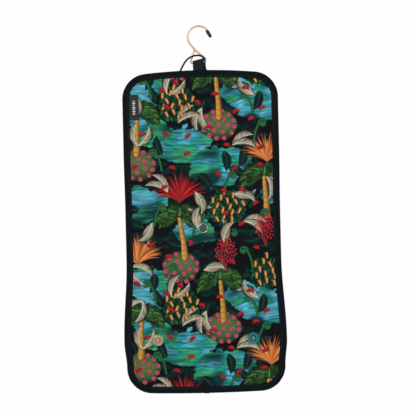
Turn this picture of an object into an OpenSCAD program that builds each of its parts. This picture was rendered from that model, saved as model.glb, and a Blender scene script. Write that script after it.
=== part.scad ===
// Hanging toiletry bag: three padded panels joined by two narrow spines, hung from a
// wire hook. Its printed face looks toward -Y and its pockets toward +Y.
// The origin is the inner apex of the hook, where a rail touches it.

/* [Bag] */
// Width near the top
top_w = 246; // [242:1:250]
// Width at the waist, across the middle panel
waist_w = 244.5; // [240:0.5:248]
// Width at the widest, across the lower panel
hem_w = 257; // [250:1:260]
// Width just above the bottom corners
foot_w = 250; // [244:1:254]
// Radius of the four corners
corner_r = 40; // [36:1:44]
// Slope of the top edge where it meets a corner, in degrees
top_slope = 5.5; // [3:0.5:7]
// Slope of the bottom edge where it meets a corner, in degrees
bottom_slope = 2; // [1:0.5:3]
// Drop from the hook's inner apex to the top edge
hang_drop = 68; // [68:0.5:70]

/* [Panels] */
// Height of the upper panel
upper_h = 133; // [132:1:134]
// Height of the upper spine
upper_spine_h = 35; // [35:1:38]
// Height of the middle panel
middle_h = 162; // [161:1:163]
// Height of the lower spine
lower_spine_h = 20; // [20:1:22]
// Height of the lower panel
lower_h = 160; // [159:1:160]
// Thickness of a padded panel
panel_t = 5; // [4.8:0.1:5.2]
// Thickness of the outer fabric and of the lining
fabric_t = 0.8; // [0.6:0.1:1]

/* [Binding] */
// Width of the edge tape on each face
binding_w = 11; // [10:0.5:12]
// Thickness of the edge tape on each face
binding_t = 0.9; // [0.7:0.1:0.9]
// Thickness of the edge tape round the rim
rim_t = 1; // [0.8:0.1:1.2]

/* [Hook] */
// Diameter of the hook's wire
wire_d = 3; // [2.8:0.1:3.2]
// Radius of the hook's arc, to the middle of the wire
hook_r = 17.5; // [17:0.5:18]
// Outer diameter of the rubber tip
tip_d = 5.4; // [4.8:0.1:5.6]
// Width of the webbing loop that holds the hook
strap_w = 17.5; // [17:0.5:17.5]
// Thickness of the webbing
strap_t = 1; // [0.8:0.1:1]
// Diameter of the elastic cord loop
elastic_d = 2.9; // [2.6:0.1:3]

/* [Zips] */
// Height of the coil's two rows together
coil_h = 5; // [4.6:0.1:5.2]
// Height of the slot that the coil shows through
slot_h = 10; // [9.5:0.5:11]
// Height of the zip's tape
tape_h = 26; // [24:1:28]
// Length of a pull tab
pull_l = 22; // [20:1:22]

/* [Snaps] */
// Diameter of a magnetic snap
snap_d = 18; // [17:0.5:18]
// Distance of each snap from the middle of the bag
snap_x = 75.3; // [74:0.1:76]
// Distance of the outer snaps below the top edge
snap_at = 424.5; // [422:0.5:426]
// Diameter of the cap in the middle of the bag
cap_d = 15.5; // [15:0.5:16.5]
// Distance of the cap below the top edge
cap_at = 249.6; // [248:0.2:251]

/* [Hidden] */
$fn = 48;

CANVAS = [0.16, 0.35, 0.36];
TAPE = [0.07, 0.09, 0.12];
NYLON = [0.20, 0.22, 0.26];
NET = [0.30, 0.32, 0.35];
FOAM = [0.86, 0.85, 0.80];
CLEAR = [0.75, 0.88, 0.92, 0.4];
GOLD = [0.83, 0.66, 0.36];
RUBBER = [0.10, 0.10, 0.10];
FILM = [0.25, 0.60, 0.62];

// Sections of the bag, from the top: each runs from one of these distances to the next
UPPER = 0;
UPPER_SPINE = 1;
MIDDLE = 2;
LOWER_SPINE = 3;
LOWER = 4;
creases = [
    0,
    upper_h,
    upper_h + upper_spine_h,
    upper_h + upper_spine_h + middle_h,
    upper_h + upper_spine_h + middle_h + lower_spine_h,
    upper_h + upper_spine_h + middle_h + lower_spine_h + lower_h,
];
bag_h = creases[5];
crease_gap = 0.3;
relief_h = 1.5;

// Faces of a panel: the printed face in front, the lining's face at the back
front_y = -panel_t / 2;
back_y = panel_t / 2;
through = 30;

// Half widths down the side, eased from one to the next: [distance below the top edge, half width]
side_widths = [
    [0, top_w / 2],
    [130, top_w / 2],
    [220, waist_w / 2],
    [295, waist_w / 2],
    [427, hem_w / 2],
    [468, foot_w / 2],
    [bag_h, foot_w / 2],
];
side_step = 24;
corner_steps = 10;
end_steps = 4;

// A pocket: [half width, top, bottom, upper corner radius, lower corner radius,
// front's back face, zip's place]
upper_pocket = [106, 15, 124, 30, 8, back_y + 3, 80];
pouch = [104, 178, 322, 12, 12, back_y + 6, 200];
lower_pocket = [108, 361, 497, 8, 30, back_y + 6, 384];
mesh_t = 1;
clear_t = 0.6;
wall_t = 1;
pouch_gap = 0.3;
pouch_edge_w = 6;

coil_t = 1.8;
tape_t = 0.6;
coil_half = 97;
slot_half = 100;
tape_half = 101.2;
stop_w = 1.4;
stop_t = coil_t + 0.6;
slider_x = 91;
slider_size = [10, 8];
bridge_bore_d = 1.9;
pull_bar_d = 1.3;
pull_w = 7;
pull_t = 1;
pull_rise = 4.2;

snap_rim_t = 2.2;
snap_stud_d = 6;
snap_stud_l = 2.4;
flap_snap_t = 3.2;
fold_shift = creases[LOWER] - creases[UPPER_SPINE] + middle_h;
flap_snap_at = snap_at - fold_shift;
rivet_d = 4;
washer_d = 14;
washer_t = 0.8;
film_t = 0.2;
stud_d = 5;
stud_bore_d = 6.5;
socket_d = 13;

// The hook's outline: its arc, from the tip's side to the neck, and below it where the wire turns
arc_start = 50.9;
arc_end = 212;
arc_centre = [0, -(hook_r - wire_d / 2)];
tip_neck = arc_centre + hook_r * [cos(arc_start), sin(arc_start)];
tip_way = [cos(-59.8), sin(-59.8)];
tip_top = tip_neck + 5.3 * tip_way;
tip_foot = tip_neck + 13.9 * tip_way;
wire_end = tip_neck + 12.4 * tip_way;
neck_top = arc_centre + hook_r * [cos(arc_end), sin(arc_end)];
neck = [-5.6, -36.8];
bar_right = [11.5, -50.8];
bar_left = [-14.3, -56.8];
weld = [-7.6, -36.4];
hook_turns = [neck_top, neck, bar_right, bar_left, weld];
corner_d = wire_d + 0.2;
weld_d = 4;
bar_middle = (bar_left + bar_right) / 2 + [-0.3, -0.07];
bar_tilt = atan2((bar_right - bar_left)[1], (bar_right - bar_left)[0]);
strap_clearance = 0.15;

// The elastic loop's route, from the binding over the hook's bar and back to the binding
elastic_route = [
    [-29.9, -1.9, -68.5],
    [-28.4, -2.6, -65.2],
    [-25.4, -3.7, -60],
    [-21.6, -4.6, -54.4],
    [-16.6, -4.8, -49.6],
    [-9.6, -4.8, -46.4],
    [-2.2, -4.8, -45.4],
    [3.4, -4.8, -46.7],
    [7.2, -4.8, -50],
    [8.9, -4.8, -54.4],
    [8.6, -4.5, -59.5],
    [9.2, -3.5, -64.8],
    [10, -2.5, -68.25],
];

// --- Shared shapes ---

function turned(path) = [for (i = [len(path) - 1 : -1 : 0]) path[i]];

function side_w(at) =
    let (
        i = max([for (k = [0 : len(side_widths) - 2]) at >= side_widths[k][0] ? k : 0]),
        a = side_widths[i],
        b = side_widths[i + 1],
        t = (at - a[0]) / (b[0] - a[0])
    )
    a[1] + (b[1] - a[1]) * (1 - cos(180 * t)) / 2;

function side_points(from, to, margin) =
    let (n = ceil((to - from) / side_step))
    [for (i = [0 : n]) let (at = from + (to - from) * i / n) [side_w(at) - margin, at]];

// How far a corner's centre is from the end of the bag that it belongs to
function corner_at(half, slope) =
    corner_r * cos(slope) + (half - corner_r + corner_r * sin(slope)) * tan(slope) / 2;

// One end of the bag, from its middle to the last point of its corner, as [x, distance from the end]
function end_points(half, slope, margin) =
    let (
        r = corner_r - margin,
        centre = [half - corner_r, corner_at(half, slope)],
        corner = [
            for (i = [0 : corner_steps])
                let (a = (90 - slope) * (1 - i / corner_steps))
                [centre[0] + r * cos(a), centre[1] - r * sin(a)]
        ],
        run = corner[0][0],
        rise = run * tan(slope) / 2
    )
    concat(
        [
            for (i = [0 : end_steps - 1])
                let (t = i / end_steps)
                [run * t, corner[0][1] - rise * (1 - t * t)]
        ],
        corner
    );

function right_side(i, margin, past) =
    let (
        top_corner = corner_at(top_w / 2, top_slope),
        bottom_corner = bag_h - corner_at(foot_w / 2, bottom_slope),
        from = i == UPPER ? top_corner + 1 : creases[i] + crease_gap / 2,
        to = i == LOWER ? bottom_corner - 1 : creases[i + 1] - crease_gap / 2,
        side = side_points(from, to, margin),
        foot = [for (p = turned(end_points(foot_w / 2, bottom_slope, margin))) [p[0], bag_h - p[1]]]
    )
    concat(
        i == UPPER ? end_points(top_w / 2, top_slope, margin) : [[side[0][0], from - past]],
        side,
        i == LOWER ? foot : [[side[len(side) - 1][0], to + past]]
    );

// A section's outline, a margin inside its own edge, and running past its creases
module outline(i, margin = 0, past = 0) {
    right = right_side(i, margin, past);
    left = [for (p = turned(right)) if (p[0] > 0) [-p[0], p[1]]];
    polygon([for (p = concat(right, left)) [p[0], -p[1]]]);
}

// Extrudes a flat outline between two depths, measured down from the bag's top edge
module layer(from, to)
    translate([0, to, -hang_drop]) rotate([90, 0, 0]) linear_extrude(to - from) children();

// Places its children at a point of the bag's face, looking out along -Y
module on_face(x, at, y) translate([x, y, -hang_drop - at]) rotate([90, 0, 0]) children();

// The same, looking out along +Y
module on_back(x, at, y) translate([x, y, -hang_drop - at]) rotate([-90, 0, 0]) children();

module cover(i)
    color(CANVAS) layer(front_y, front_y + fabric_t) outline(i, rim_t);

module foam(i)
    color(FOAM) layer(front_y + fabric_t, back_y - fabric_t) outline(i, rim_t);

module lining(i)
    color(NYLON) layer(back_y - fabric_t, back_y) outline(i, rim_t);

// Room for the neighbouring section's tape when the crease is folded
module fold_relief(at)
    translate([-through * 5, back_y, -hang_drop - at - relief_h]) cube([through * 10, through, 2 * relief_h]);

// Edge tape folded round the rim: a leg on each face and the rim between them
module binding(i)
    color(TAPE) difference() {
        layer(front_y - binding_t, back_y + binding_t) outline(i);
        layer(-through, through) outline(i, binding_w, 1);
        layer(front_y, back_y) outline(i, rim_t, 1);
        if (i > UPPER) fold_relief(creases[i]);
        if (i < LOWER) fold_relief(creases[i + 1]);
    }

// --- Pockets and zips ---

function corner_arc(cx, cz, r, start) =
    [for (i = [0 : 8]) let (a = start + 90 * i / 8) [cx + r * cos(a), cz + r * sin(a)]];

module pocket_outline(p, margin = 0) {
    w = p[0] - margin;
    top = -p[1] - margin;
    bottom = -p[2] + margin;
    up = p[3] - margin;
    low = p[4] - margin;
    polygon(concat(
        corner_arc(w - up, top - up, up, 0),
        corner_arc(-w + up, top - up, up, 90),
        corner_arc(-w + low, bottom + low, low, 180),
        corner_arc(w - low, bottom + low, low, 270)
    ));
}

module pocket_gusset(p, from)
    layer(from, p[5]) difference() {
        pocket_outline(p);
        pocket_outline(p, wall_t);
    }

module pocket_front(p, t)
    layer(p[5], p[5] + t) difference() {
        pocket_outline(p);
        translate([-slot_half, -p[6] - slot_h / 2]) square([2 * slot_half, slot_h]);
    }

module zip_tape(p)
    color(TAPE) translate([-tape_half, p[5] - tape_t, -hang_drop - p[6] - tape_h / 2])
        cube([2 * tape_half, tape_t, tape_h]);

// The coil's two rows as one strip, with a stop at each end
module zip_teeth(p)
    color(TAPE) union() {
        translate([-coil_half, p[5], -hang_drop - p[6] - coil_h / 2]) cube([2 * coil_half, coil_t, coil_h]);
        for (side = [-1, 1])
            translate([side * coil_half, p[5] + stop_t / 2, -hang_drop - p[6]])
                cube([stop_w, stop_t, coil_h + 1.6], center = true);
    }

// Slider over the coil, with a bridge that the pull tab's bar turns in
module zip_slider(p)
    color(GOLD) translate([slider_x, p[5], -hang_drop - p[6]]) difference() {
        union() {
            translate([-slider_size[0] / 2, 0.3, -slider_size[1] / 2])
                cube([slider_size[0], 2.8, slider_size[1]]);
            translate([-1.2, 3, -3]) cube([2.4, 2.4, 6]);
        }
        translate([-slider_size[0], -1, -coil_h / 2 - 0.4])
            cube([2 * slider_size[0], coil_t + 1.3, coil_h + 0.8]);
        translate([-2, pull_rise, 0]) rotate([0, 90, 0]) cylinder(h = 4, d = bridge_bore_d);
    }

// Pull tab hanging from its bar: a plate with a window round the bridge and a thumb hole
module zip_pull(p)
    color(GOLD) translate([slider_x, p[5] + pull_rise, -hang_drop - p[6]]) {
        translate([-pull_w / 2, 0, 0]) rotate([0, 90, 0]) cylinder(h = pull_w, d = pull_bar_d);
        translate([0, pull_t / 2, 0]) rotate([90, 0, 0]) linear_extrude(pull_t) difference() {
            polygon([
                [-pull_w / 2, 0],
                [pull_w / 2, 0],
                [pull_w / 2, -6],
                [2.4, -8],
                [3.2, -pull_l + 2],
                [2, -pull_l],
                [-2, -pull_l],
                [-3.2, -pull_l + 2],
                [-2.4, -8],
                [-pull_w / 2, -6],
            ]);
            translate([-1.9, -4.6]) square([3.8, 5]);
            translate([0, -pull_l + 4]) circle(d = 2.6);
        }
    }

// --- Snaps and studs ---

// Magnetic snap, stud half: a dished disc with a raised rim and a stud, riveted through the fabric
module magnetic_stud(x)
    color(GOLD) on_face(x, snap_at, front_y) rotate_extrude() polygon([
        [0, -fabric_t - washer_t],
        [rivet_d / 2, -fabric_t - washer_t],
        [rivet_d / 2, 0],
        [snap_d / 2 - 0.3, 0],
        [snap_d / 2, 0.4],
        [snap_d / 2, snap_rim_t - 0.6],
        [snap_d / 2 - 0.6, snap_rim_t],
        [snap_d / 2 - 1.2, snap_rim_t],
        [snap_d / 2 - 1.6, snap_rim_t - 0.8],
        [snap_stud_d / 2 + 1, snap_rim_t - 0.8],
        [snap_stud_d / 2, snap_rim_t - 0.5],
        [snap_stud_d / 2, snap_rim_t + snap_stud_l - 0.6],
        [snap_stud_d / 2 - 0.6, snap_rim_t + snap_stud_l],
        [0, snap_rim_t + snap_stud_l],
    ]);

// Magnetic snap, socket half, riveted through the pocket's front
module magnetic_socket(x)
    color(GOLD) on_back(x, flap_snap_at, upper_pocket[5] + mesh_t) rotate_extrude() polygon([
        [0, -mesh_t - washer_t],
        [rivet_d / 2, -mesh_t - washer_t],
        [rivet_d / 2, 0],
        [snap_d / 2 - 0.3, 0],
        [snap_d / 2, 0.4],
        [snap_d / 2, flap_snap_t - 0.6],
        [snap_d / 2 - 0.6, flap_snap_t],
        [snap_stud_d / 2 + 0.8, flap_snap_t],
        [snap_stud_d / 2 + 0.5, flap_snap_t - 0.3],
        [snap_stud_d / 2 + 0.5, 0.2],
        [0, 0.2],
    ]);

module washer()
    difference() {
        cylinder(h = washer_t, d = washer_d);
        translate([0, 0, -1]) cylinder(h = washer_t + 2, d = rivet_d);
    }

// --- Hook and strap ---

function heading(a, b) = atan2((b - a)[1], (b - a)[0]);

module wire_arc(centre, r, start, sweep, d)
    translate([centre[0], 0, centre[1]]) rotate([90, 0, 0]) rotate([0, 0, start])
        rotate_extrude(angle = sweep) translate([r, 0]) circle(d = d);

module wire_run(a, b, d = wire_d)
    translate([a[0], 0, a[1]]) rotate([0, 90 - heading(a, b), 0]) cylinder(h = norm(b - a), d = d);

module wire_ball(at, d) translate([at[0], 0, at[1]]) sphere(d = d);

// Bent wire: the arc, the neck, and the loop that holds the strap, welded shut
module hook_wire()
    color(GOLD) union() {
        wire_run(wire_end, tip_neck);
        wire_ball(tip_neck, corner_d);
        wire_arc(arc_centre, hook_r, arc_start, arc_end - arc_start, wire_d);
        for (i = [0 : 3]) wire_run(hook_turns[i], hook_turns[i + 1]);
        for (i = [0 : 3]) wire_ball(hook_turns[i], corner_d);
        wire_ball(weld, weld_d);
    }

// Rubber tip, round at both ends, with a bore that the wire fills
module hook_tip() {
    r = tip_d / 2;
    l = norm(tip_top - tip_foot);
    bore_r = wire_d / 2;
    bore_from = norm(wire_end - tip_foot);
    mouth = acos(bore_r / r);
    color(RUBBER) translate([tip_foot[0], 0, tip_foot[1]]) rotate([0, 90 - heading(tip_foot, tip_top), 0])
        rotate_extrude() polygon(concat(
            [for (i = [0 : 8]) let (a = -90 + 90 * i / 8) [r * cos(a), r * sin(a)]],
            [for (i = [0 : 6]) let (a = mouth * i / 6) [r * cos(a), l + r * sin(a)]],
            [[bore_r, bore_from], [0, bore_from]]
        ));
}

// Webbing folded over the hook's bar, its two legs running down into the top binding
module strap_loop() {
    inner_r = wire_d / 2 + strap_clearance;
    leg_l = hang_drop + bar_middle[1];
    lean = asin((inner_r - 0.1) / leg_l);
    color(TAPE) difference() {
        union() {
            translate([bar_middle[0], 0, bar_middle[1]]) rotate([0, 90 - bar_tilt, 0])
                cylinder(h = strap_w, r = inner_r + strap_t, center = true);
            for (side = [-1, 1])
                translate([bar_middle[0], side * inner_r, bar_middle[1]]) rotate([side * lean, 0, 0])
                    translate([0, side < 0 ? 0 : strap_t, 0]) rotate([90, 0, 0]) linear_extrude(strap_t)
                        polygon([
                            [-strap_w / 2, -leg_l],
                            [strap_w / 2, -leg_l],
                            [strap_w / 2, strap_w / 2 * tan(bar_tilt)],
                            [-strap_w / 2, -strap_w / 2 * tan(bar_tilt)],
                        ]);
        }
        translate([bar_middle[0], 0, bar_middle[1]]) rotate([0, 90 - bar_tilt, 0])
            cylinder(h = 2 * strap_w, r = inner_r, center = true);
    }
}

// A round cord along a route, with one ring of eight corners at each of its points
module cord(route, d) {
    n = len(route);
    sides = 8;
    rings = [
        for (i = [0 : n - 1])
            let (
                along = route[min(i + 1, n - 1)] - route[max(i - 1, 0)],
                t = along / norm(along),
                u = cross(t, [0, 1, 0]) / norm(cross(t, [0, 1, 0])),
                v = cross(u, t)
            )
            for (k = [0 : sides - 1])
                let (a = 360 * k / sides)
                route[i] + d / 2 * (cos(a) * u + sin(a) * v)
    ];
    walls = [
        for (i = [0 : n - 2])
            for (k = [0 : sides - 1])
                let (j = (k + 1) % sides)
                [i * sides + k, (i + 1) * sides + k, (i + 1) * sides + j, i * sides + j]
    ];
    first = [for (k = [0 : sides - 1]) k];
    last = [for (k = [sides - 1 : -1 : 0]) (n - 1) * sides + k];
    polyhedron(points = rings, faces = concat(walls, [first], [last]));
}

module elastic_loop() color(TAPE) cord(elastic_route, elastic_d);

// --- Upper panel ---

module upper_cover() cover(UPPER);

module upper_foam() foam(UPPER);

module upper_lining() lining(UPPER);

module upper_binding() binding(UPPER);

// Folded label caught under the left-hand tape
module woven_label() {
    label_w = 14;
    label_h = 40;
    label_at = 37;
    left = -side_w(label_at) + binding_w + 0.9;
    color(TAPE) translate([left, front_y - 0.5, -hang_drop - label_at - label_h])
        cube([label_w, 0.5, label_h]);
}

module upper_pocket_gusset() color(NYLON) pocket_gusset(upper_pocket, back_y);

module upper_pocket_front()
    color(NYLON) difference() {
        pocket_front(upper_pocket, mesh_t);
        for (side = [-1, 1])
            on_back(side * snap_x, flap_snap_at, 0) cylinder(h = through, d = rivet_d);
    }

module upper_zip_tape() zip_tape(upper_pocket);

module upper_zip_teeth() zip_teeth(upper_pocket);

module upper_zip_slider() zip_slider(upper_pocket);

module upper_zip_pull() zip_pull(upper_pocket);

module flap_snap_left() magnetic_socket(-snap_x);

module flap_snap_right() magnetic_socket(snap_x);

module flap_snap_washers()
    color(GOLD) for (side = [-1, 1])
        on_face(side * snap_x, flap_snap_at, upper_pocket[5]) washer();

// --- Spines ---

module upper_spine_cover() cover(UPPER_SPINE);

module upper_spine_foam() foam(UPPER_SPINE);

module upper_spine_lining() lining(UPPER_SPINE);

module upper_spine_binding() binding(UPPER_SPINE);

module lower_spine_cover() cover(LOWER_SPINE);

module lower_spine_foam() foam(LOWER_SPINE);

module lower_spine_lining() lining(LOWER_SPINE);

module lower_spine_binding() binding(LOWER_SPINE);

// --- Middle panel, with the stud that holds the pouch ---

module stud_hole() on_back(0, cap_at, -through) cylinder(h = 2 * through, d = stud_d);

module middle_cover()
    difference() {
        cover(MIDDLE);
        stud_hole();
    }

module middle_foam()
    difference() {
        foam(MIDDLE);
        stud_hole();
    }

module middle_lining()
    difference() {
        lining(MIDDLE);
        stud_hole();
    }

module middle_binding() binding(MIDDLE);

// Gold bezel of the cap on the printed face
module stud_cap()
    color(GOLD) on_face(0, cap_at, front_y) rotate_extrude() polygon([
        [0, 0],
        [cap_d / 2 - 0.5, 0],
        [cap_d / 2, 0.5],
        [cap_d / 2, 1.4],
        [cap_d / 2 - 0.6, 2],
        [cap_d / 2 - 1.4, 1.8],
        [cap_d / 2 - 1.4, 1],
        [0, 1],
    ]);

// Domed enamel set in the bezel
module stud_dome() {
    base_d = cap_d - 2.8;
    rise = 2;
    r = (pow(base_d / 2, 2) + rise * rise) / (2 * rise);
    color(FILM) on_face(0, cap_at, front_y - 1) difference() {
        translate([0, 0, rise - r]) sphere(r = r, $fn = 96);
        translate([-2 * r, -2 * r, -4 * r]) cube(4 * r);
    }
}

module stud_post()
    color(GOLD) on_back(0, cap_at, front_y) rotate_extrude() polygon([
        [0, 0],
        [stud_d / 2, 0],
        [stud_d / 2, panel_t + 1.1],
        [stud_d / 2 + 0.4, panel_t + 1.5],
        [stud_d / 2 + 0.4, panel_t + 2.3],
        [stud_d / 2 - 0.3, panel_t + 2.9],
        [0, panel_t + 2.9],
    ]);

// --- Pouch on the middle panel ---

module pouch_back()
    color(NYLON) difference() {
        layer(back_y + pouch_gap, back_y + pouch_gap + fabric_t) pocket_outline(pouch, rim_t);
        on_back(0, cap_at, 0) cylinder(h = through, d = socket_d);
    }

module pouch_gusset()
    color(CLEAR) layer(back_y + pouch_gap + fabric_t, pouch[5]) difference() {
        pocket_outline(pouch, rim_t);
        pocket_outline(pouch, rim_t + wall_t);
    }

module pouch_window()
    color(CLEAR) layer(pouch[5], pouch[5] + clear_t) difference() {
        pocket_outline(pouch, rim_t);
        translate([-slot_half, -pouch[6] - slot_h / 2]) square([2 * slot_half, slot_h]);
    }

module pouch_binding()
    color(TAPE) difference() {
        layer(back_y + pouch_gap, pouch[5] + clear_t + binding_t) pocket_outline(pouch);
        layer(pouch[5] + clear_t, through) pocket_outline(pouch, pouch_edge_w);
        layer(-through, pouch[5] + clear_t) pocket_outline(pouch, rim_t);
    }

// Press-stud socket riveted in the pouch's back
module pouch_stud_socket()
    color(GOLD) on_back(0, cap_at, back_y + pouch_gap) rotate_extrude() polygon([
        [stud_bore_d / 2, 0],
        [socket_d / 2, 0],
        [socket_d / 2, 2.8],
        [socket_d / 2 - 1.5, 3.6],
        [0, 3.6],
        [0, 3],
        [stud_bore_d / 2, 3],
    ]);

module pouch_zip_tape() zip_tape(pouch);

module pouch_zip_teeth() zip_teeth(pouch);

module pouch_zip_slider() zip_slider(pouch);

module pouch_zip_pull() zip_pull(pouch);

// --- Lower panel, with the outer snaps ---

module lower_cover()
    difference() {
        cover(LOWER);
        for (side = [-1, 1])
            on_back(side * snap_x, snap_at, -through) cylinder(h = through, d = rivet_d);
    }

module lower_foam()
    difference() {
        foam(LOWER);
        for (side = [-1, 1])
            on_back(side * snap_x, snap_at, front_y) cylinder(h = fabric_t + washer_t, d = washer_d);
    }

module lower_lining() lining(LOWER);

// The tape's two ends overlap near the middle of the bottom edge
module lower_binding() {
    lap_x = -5;
    lap_w = 10;
    lap_t = 0.5;
    color(TAPE) union() {
        binding(LOWER);
        translate([lap_x, front_y - binding_t - lap_t, -hang_drop - bag_h + 0.5])
            cube([lap_w, lap_t, binding_w - 0.7]);
    }
}

module snap_left() magnetic_stud(-snap_x);

module snap_right() magnetic_stud(snap_x);

// Teal protective film left on the right-hand snap's dish
module snap_right_film()
    color(FILM) on_face(snap_x, snap_at, front_y - snap_rim_t + 0.8) difference() {
        cylinder(h = film_t, d = snap_d - 3.6);
        translate([0, 0, -1]) cylinder(h = 3, d = snap_stud_d + 2.2);
    }

module snap_washers()
    color(GOLD) for (side = [-1, 1])
        on_back(side * snap_x, snap_at, front_y + fabric_t) washer();

module lower_pocket_gusset() color(NYLON) pocket_gusset(lower_pocket, back_y);

module lower_pocket_front() color(NET) pocket_front(lower_pocket, mesh_t);

module lower_zip_tape() zip_tape(lower_pocket);

module lower_zip_teeth() zip_teeth(lower_pocket);

module lower_zip_slider() zip_slider(lower_pocket);

module lower_zip_pull() zip_pull(lower_pocket);

hook_wire();
hook_tip();
upper_cover();
upper_foam();
upper_lining();
upper_binding();
strap_loop();
elastic_loop();
woven_label();
upper_pocket_gusset();
upper_pocket_front();
upper_zip_tape();
upper_zip_teeth();
upper_zip_slider();
upper_zip_pull();
flap_snap_left();
flap_snap_right();
flap_snap_washers();
upper_spine_cover();
upper_spine_foam();
upper_spine_lining();
upper_spine_binding();
middle_cover();
middle_foam();
middle_lining();
middle_binding();
stud_cap();
stud_dome();
stud_post();
pouch_back();
pouch_gusset();
pouch_window();
pouch_binding();
pouch_stud_socket();
pouch_zip_tape();
pouch_zip_teeth();
pouch_zip_slider();
pouch_zip_pull();
lower_spine_cover();
lower_spine_foam();
lower_spine_lining();
lower_spine_binding();
lower_cover();
lower_foam();
lower_lining();
lower_binding();
snap_left();
snap_right();
snap_right_film();
snap_washers();
lower_pocket_gusset();
lower_pocket_front();
lower_zip_tape();
lower_zip_teeth();
lower_zip_slider();
lower_zip_pull();
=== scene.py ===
"""Looks of the hanging toiletry bag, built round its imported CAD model.

Lengths are in millimetres until a mesh is made. A place on the bag is (x, d, y): across, down from its top
edge, and out of its back.
"""

import math

import bpy
import numpy as np
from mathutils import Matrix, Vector


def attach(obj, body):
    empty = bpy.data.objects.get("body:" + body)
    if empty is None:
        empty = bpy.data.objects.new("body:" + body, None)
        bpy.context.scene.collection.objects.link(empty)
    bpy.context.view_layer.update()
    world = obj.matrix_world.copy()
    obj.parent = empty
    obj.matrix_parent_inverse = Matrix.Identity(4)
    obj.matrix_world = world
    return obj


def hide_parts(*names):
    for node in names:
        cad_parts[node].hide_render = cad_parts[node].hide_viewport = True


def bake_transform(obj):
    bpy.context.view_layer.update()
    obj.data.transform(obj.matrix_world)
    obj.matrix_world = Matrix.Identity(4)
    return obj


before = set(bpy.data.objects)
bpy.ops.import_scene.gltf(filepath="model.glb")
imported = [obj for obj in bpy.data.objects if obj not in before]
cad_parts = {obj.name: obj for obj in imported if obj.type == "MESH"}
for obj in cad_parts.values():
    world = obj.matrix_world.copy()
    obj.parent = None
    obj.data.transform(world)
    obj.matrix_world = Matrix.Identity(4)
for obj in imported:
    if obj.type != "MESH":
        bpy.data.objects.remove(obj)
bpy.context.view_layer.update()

MM = 0.001
DROP = 68.0
FRONT, BACK = -2.5, 2.5
BAG_H, CORNER, HALF = 510.0, 40.0, 126.0
CREASES = (133.0, 168.0, 330.0, 350.0)
SIDES = ((0, 123), (130, 123), (220, 122.25), (295, 122.25), (427, 128.5), (468, 125), (510, 125))
ENDS = ((123.0, 5.5), (125.0, 2.0))
SNAP_X, SNAP_AT, CAP_AT = 75.3, 424.5, 249.6
FLAP_AT, FLAP_Y, POUCH_Y = SNAP_AT - 379, 6.5, BACK + 0.3
# Each stretch of the bag crosses one crease: name, from, to, the two bodies, the crease
STRETCHES = (
    ("upper", 0.0, 150.5, "upper_panel", "upper_spine", CREASES[0]),
    ("waist", 150.5, 225.0, "upper_spine", "middle_panel", CREASES[1]),
    ("belly", 225.0, 340.0, "middle_panel", "lower_spine", CREASES[2]),
    ("lower", 340.0, 510.0, "lower_spine", "lower_panel", CREASES[3]),
)
CAD_SECTIONS = {"upper": ["upper"], "waist": ["upper_spine"], "belly": ["middle"],
                "lower": ["lower_spine", "lower"]}
rng = np.random.default_rng(11)


# --- Camera ---

CAMERA_OFF, CAMERA_SEES, SENSOR = 1.6, 0.657, 36
camera = bpy.data.objects.new("camera", bpy.data.cameras.new("camera"))
bpy.context.scene.collection.objects.link(camera)
bpy.context.scene.camera = camera
camera.location = (0.0084, -CAMERA_OFF, -0.286)
camera.rotation_euler = (math.pi / 2, 0, 0)
camera.rotation_euler.rotate_axis("Z", math.radians(-1.33))
camera.data.sensor_width = SENSOR
camera.data.lens = SENSOR * CAMERA_OFF / CAMERA_SEES
camera.data.clip_end = 50


def smooth(t, low, high):
    t = np.clip((np.asarray(t, float) - low) / (high - low), 0, 1)
    return t * t * (3 - 2 * t)


def link(name, mesh, material):
    piece = bpy.data.objects.new(name, mesh)
    bpy.context.scene.collection.objects.link(piece)
    mesh.materials.append(material)
    return piece


def tag(mesh, name, vectors):
    """Keep a vector for each point of a mesh, in metres."""
    kept = mesh.attributes.new(name, "FLOAT_VECTOR", "POINT")
    kept.data.foreach_set("vector", vectors.astype(np.float32).ravel())


def make(name, points, faces, material, slot=None):
    """A mesh piece from points in millimetres. Its material reads where each one rests from "rest"."""
    points = np.asarray(points, float).reshape(-1, 3) * MM
    mesh = bpy.data.meshes.new(name)
    mesh.from_pydata(points.tolist(), [], [tuple(f) for f in faces])
    mesh.validate()
    mesh.polygons.foreach_set("use_smooth", [True] * len(mesh.polygons))
    tag(mesh, "rest", points)
    mesh.update()
    return link(name, mesh, material)


def loft(rings, closed=True, caps=True):
    """Points and faces of a skin over rings of points, all with the same count."""
    rings = np.asarray(rings, float)
    n, m = rings.shape[:2]
    last = m if closed else m - 1
    faces = [
        (i * m + k, i * m + (k + 1) % m, (i + 1) * m + (k + 1) % m, (i + 1) * m + k)
        for i in range(n - 1)
        for k in range(last)
    ]
    if caps and closed:
        faces += [tuple(range(m - 1, -1, -1)), tuple(range((n - 1) * m, n * m))]
    return rings.reshape(-1, 3), faces


def join(*parts):
    """Several (points, faces) as one."""
    points, faces, base = [], [], 0
    for p, f in parts:
        points.append(np.asarray(p, float).reshape(-1, 3))
        faces += [tuple(base + i for i in face) for face in f]
        base += len(points[-1])
    return np.concatenate(points), faces


def lengths(points):
    """How far along a line each of its points is."""
    return np.concatenate([[0], np.cumsum(np.linalg.norm(np.diff(points, axis=0), axis=1))])


def ways(points):
    """The direction of a line at each of its points."""
    along = np.gradient(points, axis=0)
    return along / np.linalg.norm(along, axis=1)[:, None]


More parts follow.
